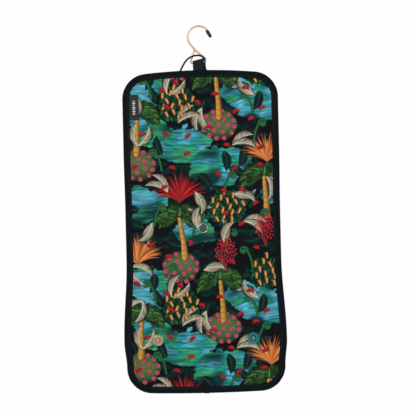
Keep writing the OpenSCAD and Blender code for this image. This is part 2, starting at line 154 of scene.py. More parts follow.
def spline(route, step=0.8):
    """A smooth curve through a route's points, in even steps."""
    p = np.asarray(route, float)
    p = np.vstack([2 * p[0] - p[1], p, 2 * p[-1] - p[-2]])
    out = []
    for i in range(1, len(p) - 2):
        t = np.linspace(0, 1, 24, endpoint=False)[:, None]
        out.append(0.5 * (2 * p[i] + (p[i + 1] - p[i - 1]) * t
                          + (2 * p[i - 1] - 5 * p[i] + 4 * p[i + 1] - p[i + 2]) * t ** 2
                          + (3 * p[i] - p[i - 1] - 3 * p[i + 1] + p[i + 2]) * t ** 3))
    return even(np.vstack(out + [p[-2:-1]]), step)


def even(points, step):
    """The same line with its points a step apart."""
    along = lengths(points)
    n = max(2, int(round(along[-1] / step)) + 1)
    at = np.linspace(0, along[-1], n)
    return np.stack([np.interp(at, along, points[:, k]) for k in range(points.shape[1])], 1)


def rounded(points, radius, step=0.6):
    """A line through points with its corners rounded."""
    p = np.asarray(points, float)
    out = [p[:1]]
    for i in range(1, len(p) - 1):
        a, b = p[i - 1] - p[i], p[i + 1] - p[i]
        cut = min(radius, np.linalg.norm(a) * 0.48, np.linalg.norm(b) * 0.48)
        a, b = p[i] + a / np.linalg.norm(a) * cut, p[i] + b / np.linalg.norm(b) * cut
        t = np.linspace(0, 1, 9)[:, None]
        out.append(a * (1 - t) ** 2 + 2 * p[i] * t * (1 - t) + b * t ** 2)
    return even(np.vstack(out + [p[-1:]]), step)


def circles(path, sides, hint):
    """Unit circles round a path, as [point, side, xyz]. hint is roughly across the path."""
    along = ways(path)
    u = np.cross(along, np.array(hint, float))
    u /= np.linalg.norm(u, axis=1)[:, None]
    v = np.cross(u, along)
    a = np.linspace(0, 2 * np.pi, sides, endpoint=False)[None, :, None]
    return np.cos(a) * u[:, None] + np.sin(a) * v[:, None]


def tube(path, radius, sides=16):
    """A round skin along a path, its ends closed by small domes. It has one radius, or one for each point."""
    path = np.asarray(path, float)
    radius = np.broadcast_to(np.asarray(radius, float), (len(path),)).copy()
    along, circle = ways(path), circles(path, sides, (0, 1, 0))
    rings = path[:, None] + radius[:, None, None] * circle
    dome = [(0.35, 0.93), (0.75, 0.66), (0.97, 0.25)]
    first = [path[0] - along[0] * radius[0] * h + radius[0] * w * circle[0] for h, w in dome[::-1]]
    last = [path[-1] + along[-1] * radius[-1] * h + radius[-1] * w * circle[-1] for h, w in dome]
    return loft(np.concatenate([first, rings, last]))


def thin_tube(path, radius, sides, hint):
    """A round skin along a path, with flat ends."""
    return loft(path[:, None] + radius * circles(path, sides, hint))


def lathe(profile, segments=72):
    """A turned shape: (radius, height) pairs round the axis that looks out along -Y."""
    a = np.linspace(0, 2 * np.pi, segments, endpoint=False)
    rings = [[(r * math.cos(t), -h, r * math.sin(t)) for t in a] for r, h in profile]
    points, faces = loft(rings, caps=False)
    points = points.tolist()
    for ring, r in ((0, profile[0][0]), (len(profile) - 1, profile[-1][0])):
        if r > 0.01:
            order = range(ring * segments, (ring + 1) * segments)
            faces.append(tuple(reversed(order)) if ring == 0 else tuple(order))
    return np.array(points), faces


def rings_of(*knots):
    """A lathe's profile with rounded corners, from (radius, height) knots."""
    return rounded(np.array(knots, float), 0.35, 0.25)


# --- The bag's outline ---

def side_w(d):
    d = np.asarray(d, float)
    out = np.full(d.shape, float(SIDES[0][1]))
    for (a, wa), (b, wb) in zip(SIDES, SIDES[1:]):
        t = np.clip((d - a) / (b - a), 0, 1)
        out = np.where(d >= a, wa + (wb - wa) * (1 - np.cos(np.pi * t)) / 2, out)
    return out


def corner_at(half, slope):
    s = math.radians(slope)
    return CORNER * math.cos(s) + (half - CORNER + CORNER * math.sin(s)) * math.tan(s) / 2


def inset(x, d):
    """How far inside the bag's edge a point of its face is."""
    x = np.abs(x)
    out = side_w(d) - x
    for (half, slope), e in zip(ENDS, (d, BAG_H - d)):
        s = math.radians(slope)
        centre, depth = half - CORNER, corner_at(half, slope)
        run = centre + CORNER * math.sin(s)
        top = e - run * math.tan(s) / 2 * (x / run) ** 2
        corner = CORNER - np.hypot(x - centre, depth - e)
        out = np.where(x < run, np.minimum(out, top), out)
        out = np.where((x >= run) & (e < depth), corner, out)
    return out


def edge_path(step=1.1):
    """The bag's edge from the middle of its top, down its right side to the middle of its bottom."""
    points = []
    half, slope = ENDS[0]
    s, depth = math.radians(slope), corner_at(*ENDS[0])
    run = half - CORNER + CORNER * math.sin(s)
    points += [(run * t, run * math.tan(s) / 2 * t * t) for t in np.linspace(0, 0.99, 60)]
    points += [(half - CORNER + CORNER * math.cos(a), depth - CORNER * math.sin(a))
               for a in np.linspace(math.pi / 2 - s, 0, 60)]
    foot = BAG_H - corner_at(*ENDS[1])
    points += [(float(side_w(d)), d) for d in np.linspace(depth + 2, foot - 2, 260)]
    half, slope = ENDS[1]
    s, depth = math.radians(slope), corner_at(*ENDS[1])
    run = half - CORNER + CORNER * math.sin(s)
    points += [(half - CORNER + CORNER * math.cos(a), BAG_H - depth + CORNER * math.sin(a))
               for a in np.linspace(0, math.pi / 2 - s, 60)]
    points += [(run * t, BAG_H - run * math.tan(s) / 2 * t * t) for t in np.linspace(0.99, 0, 60)]
    return even(np.array(points), step)


def puff(x, d):
    """How far the printed face stands out from the flat: padding, drag lines at the tape, and dimples."""
    m = inset(x, d)
    rise = smooth(m, 7, 26)
    ends = np.minimum(smooth(m, 4, 12), 1)
    waves = (0.30 * np.sin(x * 0.031 + d * 0.017 + 0.6) + 0.24 * np.sin(d * 0.043 - x * 0.012 + 2.1)
             + 0.16 * np.sin(x * 0.071 - d * 0.029 + 4.0))
    drag = (0.22 * np.exp(-((m - 15) / 6) ** 2)
            * np.sin(d * 0.19 + x * 0.16 + 1.3 * np.sin(d * 0.021 + x * 0.013)))
    out = 0.95 * rise + waves * rise + drag * ends
    for c in CREASES:
        out = out - 0.55 * np.exp(-((d - c) / 3.6) ** 2) * rise
    for hx, hd, r in ((-SNAP_X, SNAP_AT, 8.0), (SNAP_X, SNAP_AT, 8.0), (0, CAP_AT, 6.5)):
        rho = np.hypot(x - hx, d - hd)
        out = out * smooth(rho, r, r + 15) - 0.10 * np.exp(-(rho / (r + 4)) ** 4)
    return out


# --- The printed pattern, painted on one tile that repeats down the cloth ---

CELL = 0.4
TILE_W, TILE_H = 264.0, 320.0
ROWS, COLS = int(TILE_H / CELL), int(TILE_W / CELL)
INK = np.array([17, 20, 27]) / 255
art = np.zeros((ROWS, COLS, 3)) + INK


def rgb(*c):
    return np.array(c, float) / 255


def noise(across, down, x, d):
    """Soft random values from 0 to 1, of a given grain, that repeat with the tile."""
    nd, nx = max(2, int(round(TILE_H / down))), int(TILE_W / across) + 3
    grid = rng.random((nd, nx))
    gx, gd = (x + TILE_W / 2) / across, (d % TILE_H) / TILE_H * nd
    ix, iy = np.floor(gx).astype(int) % nx, np.floor(gd).astype(int) % nd
    fx, fy = smooth(gx - np.floor(gx), 0, 1), smooth(gd - np.floor(gd), 0, 1)
    jx, jy = (ix + 1) % nx, (iy + 1) % nd
    return ((grid[iy, ix] * (1 - fx) + grid[iy, jx] * fx) * (1 - fy)
            + (grid[jy, ix] * (1 - fx) + grid[jy, jx] * fx) * fy)


def patch(x0, x1, d0, d1):
    """The tile's cells in a box: where they are in the array, and their x and d."""
    c = np.arange(max(0, int((x0 + TILE_W / 2) / CELL)), min(COLS, int((x1 + TILE_W / 2) / CELL) + 2))
    r = np.arange(math.floor(d0 / CELL), math.ceil(d1 / CELL) + 1)
    x, d = np.meshgrid(c * CELL - TILE_W / 2, r * CELL)
    return np.ix_(r % ROWS, c), x, d


def ink(where, cover, colour):
    art[where] += (colour - art[where]) * np.clip(cover, 0, 1)[..., None]


def polygon(points, ragged=0.0):
    """Cells of a polygon, its outline made ragged by up to some millimetres: place, x, d and cover."""
    p = np.asarray(points, float)
    low, high = p.min(0) - 2 - ragged, p.max(0) + 2 + ragged
    where, x, d = patch(low[0], high[0], low[1], high[1])
    u, v = x, d
    if ragged:
        u = x + ragged * (1.3 * noise(17, 13, x, d) + 0.7 * noise(5, 4, x, d) - 1.0)
        v = d + ragged * (1.3 * noise(19, 12, x, d) + 0.7 * noise(5, 4, x, d) - 1.0)
    inside = np.zeros(x.shape, bool)
    for (x0, d0), (x1, d1) in zip(p, np.roll(p, -1, 0)):
        cross = (d0 > v) != (d1 > v)
        inside ^= cross & (u < (x1 - x0) * (v - d0) / (d1 - d0 + 1e-12) + x0)
    return where, x, d, inside.astype(float)


def ribbon(points, widths, step=1.0):
    """Cells of a stroke: place, x, d, cover, distance along it, and place across it from -1 to 1."""
    p = even(np.asarray(points, float), step)
    w = np.interp(np.linspace(0, 1, len(p)), np.linspace(0, 1, len(widths)), widths) / 2
    big = w.max() + 1
    where, x, d = patch(p[:, 0].min() - big, p[:, 0].max() + big, p[:, 1].min() - big, p[:, 1].max() + big)
    best, along, side, length = np.full(x.shape, -1e9), np.zeros(x.shape), np.zeros(x.shape), 0.0
    for i in range(len(p) - 1):
        a, ab = p[i], p[i + 1] - p[i]
        size = math.hypot(*ab) + 1e-9
        t = np.clip(((x - a[0]) * ab[0] + (d - a[1]) * ab[1]) / size ** 2, 0, 1)
        off = np.hypot(x - a[0] - t * ab[0], d - a[1] - t * ab[1])
        depth = w[i] + (w[i + 1] - w[i]) * t - off
        nearer = depth > best
        best = np.where(nearer, depth, best)
        along = np.where(nearer, length + t * size, along)
        turn = np.sign(ab[0] * (d - a[1]) - ab[1] * (x - a[0]))
        side = np.where(nearer, turn * off / (w[i] + 0.05), side)
        length += size
    return where, x, d, np.clip(best / CELL + 0.5, 0, 1), along, side


def bow(a, b, bend, n=9):
    """A bowed line from a to b. bend is how far it leaves the straight, as a share of its length."""
    a, b = np.asarray(a, float), np.asarray(b, float)
    t = np.linspace(0, 1, n)[:, None]
    off = np.array([b[1] - a[1], a[0] - b[0]]) * bend * 4
    return a + (b - a) * t + off * t * (1 - t)


def stroke(points, widths, colour):
    """A painted stroke."""
    where, _, _, cover, _, _ = ribbon(points, widths)
    ink(where, cover, colour)


def leaf(a, b, width, colour, other=None, band=0.0, rib=None, bend=0.12):
    """A pointed leaf from a to b, with slanting bands and a rib."""
    line = bow(a, b, bend, 13)
    shape = width * np.sin(np.pi * np.linspace(0.04, 1, 13) ** 0.8) + 0.2
    where, x, d, cover, along, side = ribbon(line, shape)
    if other is not None:
        wave = np.sin((along - 0.35 * width * np.abs(side)) * 2 * np.pi / band) if band else side * 2
        colour = colour + (other - colour) * smooth(wave, -0.25, 0.35)[..., None]
    ink(where, cover, colour)
    if rib is not None:
        stroke(line, [0.9, 0.3], rib)


def curl(stem, centre, radius, width, colour):
    """A stem that ends in a spiral."""
    stem, turns = spline(stem, 1.5), 1.6
    cx, cd = centre
    start = math.atan2(stem[-1][1] - cd, stem[-1][0] - cx)
    way = stem[-1] - stem[-2]
    hand = 1 if (stem[-1][0] - cx) * way[1] - (stem[-1][1] - cd) * way[0] > 0 else -1
    t = np.linspace(0, 1, 40)
    r = radius * (1 - 0.88 * t)
    a = start + hand * t * turns * 2 * np.pi
    coil = np.stack([cx + r * np.cos(a), cd + r * np.sin(a)], 1)
    line = np.vstack([stem, coil])
    n = len(line)
    stroke(line, [width, width, width * 0.85, width * 0.7], colour * 0.45)
    stroke(line[: n - 4], [width * 0.62, width * 0.62, width * 0.5, width * 0.4], colour)
    where, x, d, cover, _, _ = ribbon(coil[-3:], [width * 1.1, width * 1.1])
    ink(where, cover, colour)


def blossom(x, d):
    """A small five-lobed pink flower."""
    r, colour, turn = 3.5, rgb(236, 96, 146), rng.random() * 2
    where, px, pd = patch(x - r - 1, x + r + 1, d - r - 1, d + r + 1)
    a = np.arctan2(pd - d, px - x) + turn
    rho = np.hypot(px - x, pd - d)
    edge = r * (0.78 + 0.22 * np.abs(np.cos(2.5 * a)) ** 0.6)
    ink(where, (edge + 0.5 - rho) / CELL, rgb(120, 22, 50))
    shade = 0.74 + 0.26 * np.clip(rho / r, 0, 1) + 0.08 * np.cos(5 * a)
    ink(where, (edge - rho) / CELL, colour * shade[..., None])
    ink(where, (r * 0.36 - rho) / CELL, rgb(96, 20, 40))
    ink(where, (r * 0.16 - rho) / CELL, rgb(240, 190, 120))


def poppy(x, d, r, turn):
    """A red half-round cap with a ragged lower edge."""
    where, px, pd = patch(x - r - 1, x + r + 1, d - r - 1, d + r + 1)
    u = (px - x) * math.cos(turn) + (pd - d) * math.sin(turn)
    v = (pd - d) * math.cos(turn) - (px - x) * math.sin(turn)
    rho = np.hypot(u, v * 1.15) / r
    low = 0.22 * r - v - 0.5 * np.abs(np.sin(u * 2.2))
    speck = noise(1.0, 0.9, px, pd)
    colour = rgb(206, 36, 44) * (0.62 + 0.34 * speck + 0.22 * smooth(-v, -1, r))[..., None]
    ink(where, np.minimum((1.08 - rho) * r * 1.6, (low + 0.5) * 1.6), rgb(54, 12, 18))
    ink(where, np.minimum((1 - rho) * r * 1.6, low * 1.6), colour)


def tulip(x, d, turn):
    """A small orange trumpet: three petals that part from one foot."""
    size = 10.0
    up = np.array([math.sin(turn), -math.cos(turn)])
    across = np.array([-up[1], up[0]])
    foot = np.array([x, d]) - up * size / 2
    leaf(foot, foot + up * (size + 0.6), 5.6, rgb(70, 40, 20), bend=0.02)
    for spread, tone in ((-0.30, 0.86), (0.30, 0.74), (0.0, 1.0)):
        tip = foot + up * size + across * spread * size * 0.8
        leaf(foot, tip, 3.0, rgb(214, 128, 58) * tone, rgb(246, 190, 112) * tone,
             bend=0.10 * np.sign(spread))


def hearts(cx, cd, w, h, n, root):
    """Small red leaves on stems that fan from a root."""
    for i in range(n):
        t = (i + 0.5) / n
        a, q = i * 2.39996, math.sqrt(t)
        x, d = cx + w / 2 * q * math.cos(a), cd + h / 2 * q * math.sin(a)
        if i % 4 == 0:
            stroke(bow(root, (x, d), 0.1), [0.8, 0.5], rgb(150, 40, 44))
        way = np.array([x - root[0], d - root[1]])
        way = way / (np.linalg.norm(way) + 1e-6) * 3.4
        tone = rgb(208, 38, 58) * (0.82 + 0.3 * rng.random())
        leaf((x, d), (x + way[0], d + way[1]), 2.9, tone, bend=0.0)


def grove(points, colour, other, size, gap, tilt):
    """An area filled with rows of overlapping leaves."""
    p = np.asarray(points, float)
    where, x, d, cover = polygon(points)
    ink(where, cover, colour * 0.30)
    row = 0
    for dd in np.arange(p[:, 1].min(), p[:, 1].max() + gap, gap):
        row += 1
        for xx in np.arange(p[:, 0].min() + (row % 2) * gap * 0.6, p[:, 0].max(), gap * 1.2):
            inside = False
            for (x0, d0), (x1, d1) in zip(p, np.roll(p, -1, 0)):
                if (d0 > dd) != (d1 > dd) and xx < (x1 - x0) * (dd - d0) / (d1 - d0 + 1e-12) + x0:
                    inside = not inside
            if not inside:
                continue
            jx, jd = rng.uniform(-0.8, 0.8, 2)
            a = tilt + rng.uniform(-0.5, 0.5)
            way = np.array([math.sin(a), math.cos(a)]) * size
            c = colour + (other - colour) * rng.random()
            start = np.array([xx + jx, dd + jd])
            leaf(start - way * 0.2, start + way, size * 0.62, c * 0.45, bend=0.03)
            light = 0.55 + 0.6 * noise(26, 22, start[:1], start[1:])[0]
            leaf(start, start + way * 0.86, size * 0.50, c * light, rib=c * 0.4, bend=0.03)


def bush(cx, cd, w, h, flowers):
    """A smooth round olive bush with a darker rim and foot, dotted with blossoms."""
    where, x, d = patch(cx - w / 2 - 3, cx + w / 2 + 3, cd - h / 2 - 3, cd + h / 2 + 3)
    rho = np.hypot((x - cx) / (w / 2), (d - cd) / (h / 2))
    lobes = 1 + 0.03 * np.cos(7 * np.arctan2(d - cd, x - cx))
    shade = 0.84 + 0.14 * noise(5, 3, x, d) + 0.08 * noise(1.2, 1.0, x, d)
    shade = shade * (1.06 - 0.30 * smooth(rho, 0.5, 1.0) - 0.28 * smooth(d, cd, cd + h / 2))
    ink(where, (lobes - rho) * 14, rgb(86, 116, 62) * shade[..., None])
    for f in flowers:
        blossom(*f)


def ring(cx, cd, w, h, counts, turn):
    """Places for blossoms: a ring or two inside an oval."""
    out = []
    for k, n in enumerate(counts):
        q = (0.0, 0.46, 0.86)[k] if n > 1 or k else 0.0
        for i in range(n):
            a = turn * (k + 1) + 2 * math.pi * i / n
            out.append((cx + q * w / 2 * math.cos(a) + rng.uniform(-1.2, 1.2),
                        cd + q * h / 2 * math.sin(a) + rng.uniform(-1.2, 1.2)))
    return out


def pond(points, light, dark, tilt):
    """Water in fine slanting brush strokes of blue, teal and green, dark in places."""
    where, x, d, cover = polygon(points, 9.0)
    warp = tilt * x + 9 * noise(44, 30, x, d) + 2.0 * noise(16, 12, x, d)
    b = noise(24, 2.0, x, d + warp)
    a = 0.74 * noise(36, 13, x, d + warp) + 0.26 * noise(9, 1.3, x, d + warp)
    c, hair = noise(11, 0.9, x, d + warp), noise(7, 0.55, x, d + warp)
    blue, teal, green = rgb(92, 182, 202), rgb(34, 140, 146), rgb(58, 162, 114)
    t = np.clip(a * 2.4 - 0.80 + light, 0, 1)[..., None]
    colour = green + (teal - green) * smooth(t, 0.05, 0.40)
    colour = colour + (blue - colour) * smooth(t, 0.38, 0.80)
    colour = colour * (0.34 + 0.48 * b + 0.34 * c + 0.30 * hair)[..., None]
    deep = smooth(noise(30, 16, x, d + warp) + 0.3 * b, dark, dark + 0.3)[..., None]
    colour = colour + (rgb(8, 38, 50) - colour) * deep * 0.85
    ink(where, cover, colour)


def combed(line, reach, side, colour, gap, lean, width):
    """Fine tapered barbs from one side of a rib, longest around its middle."""
    line = even(line, gap)
    for i, (p, w) in enumerate(zip(line, ways(line))):
        size = reach * math.sin(math.pi * ((i + 0.5) / len(line)) ** 0.75) * rng.uniform(0.78, 1.08)
        end = p + w * size * lean + np.array([-w[1], w[0]]) * size * side
        stroke(bow(p, end, -0.14 * side, 4), [width, width, width * 0.25], colour * rng.uniform(0.62, 1.08))


def plume(root, reach, start, stop, n, width, colours, droop):
    """A fan of tapered strokes from a root, dark ones first."""
    for k in range(n):
        t = ((k * 5) % n + 0.5) / n
        a = start + (stop - start) * t + rng.uniform(-0.05, 0.05)
        size = reach * rng.uniform(0.70, 1.05)
        tip = np.array([root[0] + size * math.cos(a), root[1] + size * math.sin(a)])
        tone = colours[0] * 0.3 if k < n // 4 else colours[k % len(colours)] * rng.uniform(0.72, 1.1)
        stroke(bow(root, tip, droop * math.cos(a), 8), [0.6, width, width * 0.9, 0.3], tone)


def palm(x, d, lean):
    """An upright palm: a ringed trunk under a crown of arching fronds."""
    top = np.array([x + lean, d - 20.0])
    line = spline([(x, d + 46), (x + 0.2 * lean, d + 24), (x + 0.7 * lean, d), tuple(top)], 1.5)
    widths = [10.5, 8, 6.5, 6]
    stroke(line, [w + 1.0 for w in widths], rgb(60, 40, 20))
    where, px, pd, cover, along, side = ribbon(line, widths)
    ringed = smooth(np.sin((along + 0.8 * side ** 2) * 2 * np.pi / 9), 0.86, 0.99)[..., None]
    light = 1.02 - 0.42 * np.clip(side + 0.2, 0, 1) ** 1.5 + 0.10 * noise(2, 7, px, pd)
    tone = rgb(204, 148, 66) * light[..., None]
    ink(where, cover, tone + (rgb(136, 92, 42) - tone) * ringed * 0.8)
    green = rgb(84, 146, 72)
    for a in np.radians([205, -25, 178, 2, 150, 30, 122, 58, 90]):
        tip = top + rng.uniform(34, 42) * np.array([math.cos(a), 0.30 - 0.60 * math.sin(a)])
        rib = bow(top, tip, 0.13 if tip[0] > top[0] else -0.13, 13)
        for s in (-1, 1):
            combed(rib, 13, s, green * 0.18, 1.7, 0.5, 2.6)
            combed(rib, 12, s, green * rng.uniform(0.75, 1.0), 1.7, 0.5, 1.1)
        stroke(rib, [2.0, 0.8], green * 1.22)


def quill(a, b, width, bend):
    """A pale feather: a thin rib with long barbs on its outer side and short ones on the other."""
    line = bow(a, b, bend, 15)
    side = -1 if bend > 0 else 1
    combed(line, width * 0.76, side, rgb(18, 22, 24), 1.2, 1.2, 1.8)
    combed(line, width * 0.62, side, rgb(194, 184, 156), 0.66, 1.2, 0.75)
    combed(line, width * 0.22, -side, rgb(176, 166, 140), 0.8, 0.9, 0.7)
    stroke(line, [1.3, 0.7], rgb(240, 232, 208))


def blob(cx, cd, w, h):
    """An uneven oval."""
    return [(cx + w / 2 * rng.uniform(0.8, 1.2) * math.cos(a),
             cd + h / 2 * rng.uniform(0.8, 1.2) * math.sin(a))
            for a in np.arange(0, 2 * math.pi, math.pi / 6)]


def scatter(n, gap):
    """Up to n places on the tile, none nearer than a gap to another, counted across its repeat."""
    def apart(x, d, a, b):
        return math.hypot(x - a, (d - b + TILE_H / 2) % TILE_H - TILE_H / 2)
    spots = []
    for _ in range(60 * n):
        x, d = rng.uniform(-HALF, HALF), rng.uniform(0, TILE_H)
        if len(spots) < n and all(apart(x, d, *spot) > gap for spot in spots):
            spots.append((x, d))
    return spots


# A half-drop repeat: what stands in each place of the tile's four columns.
COLUMNS = (("pond", "palm", "bush", "pond", "flame"), ("grove", "pond", "crimson", "palm", "bush"),
           ("palm", "bush", "pond", "grove", "spray"), ("pond", "flame", "palm", "spray", "grove"))
COLUMN_W, ROW_H = 66, 64
PLACES = [(kind, COLUMN_W * (c - 1.5), ROW_H * (r + c % 2 / 2) + 24)
          for c, column in enumerate(COLUMNS) for r, kind in enumerate(column)]


def places(kind):
    """Where the tile has a kind of motif, each moved a little."""
    return [(x + rng.uniform(-7, 7), d + rng.uniform(-7, 7)) for k, x, d in PLACES if k == kind]


def paint():
    """The whole tile, from its ground up: water, then trees and bushes, then flowers."""
    side, foot = TILE_W / 2, TILE_H - 0.1
    where, x, d, _ = polygon([(-side, 0), (side, 0), (side, foot), (-side, foot)])
    ink(where, np.ones(x.shape), INK * (0.70 + 0.36 * noise(18, 18, x, d))[..., None])
    leafy = (noise(12, 7, x, d) > 0.62) * 0.7
    ink(where, leafy, rgb(16, 56, 50) * (0.5 + 0.7 * noise(3, 5, x, d))[..., None])
    for cx, cd in places("pond"):
        pond(blob(cx, cd, 96, 62), rng.uniform(-0.06, 0.12), 0.72, rng.uniform(-0.3, 0.3))
    for cx, cd in places("palm"):
        pond(blob(cx + 24, cd + 12, 62, 48), 0.05, 0.68, 0.25)
    for cx, cd in scatter(34, 26):
        a = rng.uniform(0, 2 * math.pi)
        tip = (cx + 30 * math.cos(a), cd + 30 * math.sin(a))
        leaf((cx, cd), tip, 14, rgb(8, 12, 16))
        leaf((cx, cd), tip, 12, rgb(18, 50, 48), rgb(10, 18, 24), 3.4, rib=rgb(60, 108, 84))
    groves = places("grove")
    for cx, cd in groves:
        grove(blob(cx, cd, 70, 60), rgb(12, 76, 58), rgb(48, 122, 72), 8, 5.6, 0.4)
    for cx, cd in places("bush"):
        bush(cx, cd, 60, 50, ring(cx, cd, 60, 50, (1, 6, 12), rng.uniform(0, 1)))
    for cx, cd in places("palm"):
        palm(cx, cd, rng.uniform(-9, 9))
    fern = rgb(46, 112, 66)
    for cx, cd in scatter(14, 44):
        s = rng.choice((-1, 1))
        stem = [(cx, cd + 34), (cx + 3 * s, cd + 18), (cx + 9 * s, cd + 5)]
        curl(stem, (cx + 14 * s, cd + 6), 6.5, 4.0, fern)
    crimson = (rgb(178, 34, 40), rgb(206, 50, 48), rgb(150, 24, 34))
    flame = (rgb(226, 128, 66), rgb(206, 96, 44), rgb(240, 158, 92))
    for kind, colours in (("crimson", crimson), ("flame", flame)):
        for cx, cd in places(kind):
            plume((cx, cd + 22), 48, -2.9, -0.24, 76, 2.0, colours, 0.12)
    for cx, cd in scatter(18, 40):
        a = rng.uniform(0, 2 * math.pi)
        for turn in (a, a + 0.55):
            tip = (cx + 36 * math.cos(turn), cd + 36 * math.sin(turn))
            quill((cx, cd), tip, 12, rng.choice((-0.13, 0.13)))
    for cx, cd in places("spray"):
        hearts(cx, cd, 34, 40, 46, (cx, cd + 30))
    for cx, cd in groves:
        for k in range(16):
            a, r = 2.4 * k, 7.2 * math.sqrt(k + 0.5)
            tulip(cx + r * math.cos(a), cd + 0.85 * r * math.sin(a), rng.uniform(-0.5, 0.5))
    for i, (cx, cd) in enumerate(scatter(38, 24)):
        poppy(cx, cd, 5.6, 0.6 * math.sin(i * 1.9))


paint()
PRINT = 0.92 * (art + np.roll(art, 1, 0) + np.roll(art, 1, 1) + np.roll(np.roll(art, 1, 0), 1, 1)) / 4


def print_at(x, d):
    """The print's colour at points of the cloth, as linear red, green, blue and alpha."""
    gx = np.clip((x + TILE_W / 2) / CELL, 0, COLS - 2)
    gd = (d / CELL) % ROWS
    ix, iy = gx.astype(int), gd.astype(int) % ROWS
    fx, fy = (gx - ix)[:, None], (gd - np.floor(gd))[:, None]
    jy = (iy + 1) % ROWS
    c = ((PRINT[iy, ix] * (1 - fx) + PRINT[iy, ix + 1] * fx) * (1 - fy)
         + (PRINT[jy, ix] * (1 - fx) + PRINT[jy, ix + 1] * fx) * fy)
    c = np.clip(c, 0, 1)
    linear = np.where(c < 0.04045, c / 12.92, ((c + 0.055) / 1.055) ** 2.4)
    return np.concatenate([linear, np.ones((len(c), 1))], 1)


# --- Materials ---

def begin(name, resting=True):
    """A new material, its tree, and where its pattern is read from: the resting place, or the node's own."""
    m = bpy.data.materials.new(name)
    m.use_nodes = True
    tree = m.node_tree
    if resting:
        return m, tree, node(tree, "ShaderNodeAttribute", attribute_name="rest").outputs["Vector"]
    return m, tree, node(tree, "ShaderNodeTexCoord").outputs["Object"]


def surface(tree, colour, rough, normal, **values):
    """Wire the tree's shader, and set its other inputs by name, with _ for a space."""
    shader = tree.nodes["Principled BSDF"]
    for key, out in (("Base Color", colour), ("Roughness", rough), ("Normal", normal)):
        tree.links.new(out, shader.inputs[key])
    for key, value in values.items():
        shader.inputs[key.replace("_", " ")].default_value = value


def node(tree, kind, **values):
    n = tree.nodes.new(kind)
    for k, v in values.items():
        if k in n.inputs:
            n.inputs[k].default_value = v
        else:
            setattr(n, k, v)
    return n


def wave(tree, at, direction, pitch_mm):
    """Ridges along one axis, a pitch apart."""
    w = node(tree, "ShaderNodeTexWave", bands_direction=direction, Scale=2 * math.pi / (20 * pitch_mm * MM))
    tree.links.new(at, w.inputs["Vector"])
    return w.outputs["Fac"]


def grain(tree, at, size_mm, detail=3.0):
    n = node(tree, "ShaderNodeTexNoise", Scale=1 / (size_mm * MM), Detail=detail)
    tree.links.new(at, n.inputs["Vector"])
    return n.outputs["Fac"]


def combine(tree, kind, a, b):
    m = node(tree, "ShaderNodeMath", operation=kind)
    for k, v in enumerate((a, b)):
        if isinstance(v, (int, float)):
            m.inputs[k].default_value = v
        else:
            tree.links.new(v, m.inputs[k])
    return m.outputs[0]


def weigh(tree, *parts):
    """The sum of some values, each times its weight."""
    scaled = [combine(tree, "MULTIPLY", value, weight) for value, weight in parts]
    total = scaled[0]
    for value in scaled[1:]:
        total = combine(tree, "ADD", total, value)
    return total


def add(tree, a, b):
    return combine(tree, "ADD", a, b)


def span(tree, value, low, high):
    m = node(tree, "ShaderNodeMapRange", **{"To Min": low, "To Max": high})
    tree.links.new(value, m.inputs["Value"])
    return m.outputs["Result"]


def tint(tree, factor, low, high):
    """A colour between two, by a factor."""
    m = node(tree, "ShaderNodeMix", data_type="RGBA")
    tree.links.new(factor, m.inputs["Factor"])
    m.inputs[6].default_value = (*low, 1)
    m.inputs[7].default_value = (*high, 1)
    return m.outputs[2]


def bump(tree, height, strength, depth_mm):
    b = node(tree, "ShaderNodeBump", Strength=strength, Distance=depth_mm * MM)
    tree.links.new(height, b.inputs["Height"])
    return b.outputs["Normal"]


def cloth(name, low, high, pitch, rough=(0.6, 0.8), sheen=0.25, depth=0.25, across=1.0):
    """Woven cloth: two crossed sets of threads over a slow mottle."""
    m, tree, at = begin(name)
    threads = weigh(tree, (wave(tree, at, "X", pitch), 0.5), (wave(tree, at, "Z", pitch * across), 0.5))
    slow, fine = grain(tree, at, 9.0), grain(tree, at, 0.7, 2.0)
    mixed = weigh(tree, (slow, 0.6), (add(tree, threads, fine), 0.22))
    relief = add(tree, threads, weigh(tree, (fine, 0.4)))
    surface(tree, tint(tree, mixed, low, high), span(tree, mixed, *rough), bump(tree, relief, 0.5, depth),
            Sheen_Weight=sheen, Sheen_Roughness=0.5, Specular_IOR_Level=0.12)
    return m


def metal(name, low, high, rough, resting=False):
    """Plated metal with a faint mottle, wear and fine scratches."""
    m, tree, at = begin(name, resting)
    slow, fine = grain(tree, at, 3.0), grain(tree, at, 0.35, 5.0)
    mixed = weigh(tree, (slow, 0.7), (fine, 0.3))
    surface(tree, tint(tree, mixed, low, high), span(tree, fine, *rough), bump(tree, fine, 0.10, 0.004),
            Metallic=1.0)
    return m


def plastic(name, low, high, rough, grain_mm=0.6, depth=0.05, coat=0.0, resting=True, specular=0.5):
    """Plastic, foam, rubber or enamel: a mottle and a fine grain, under a clear coat if it has one."""
    m, tree, at = begin(name, resting)
    slow, fine = grain(tree, at, 4.0), grain(tree, at, grain_mm, 4.0)
    mixed = weigh(tree, (slow, 0.6), (fine, 0.4))
    surface(tree, tint(tree, mixed, low, high), span(tree, mixed, *rough), bump(tree, fine, 0.4, depth),
            Specular_IOR_Level=specular, Coat_Weight=coat, Coat_Roughness=0.08)
    return m


DULL = 0.05  # the specular level of the canvas and its tape


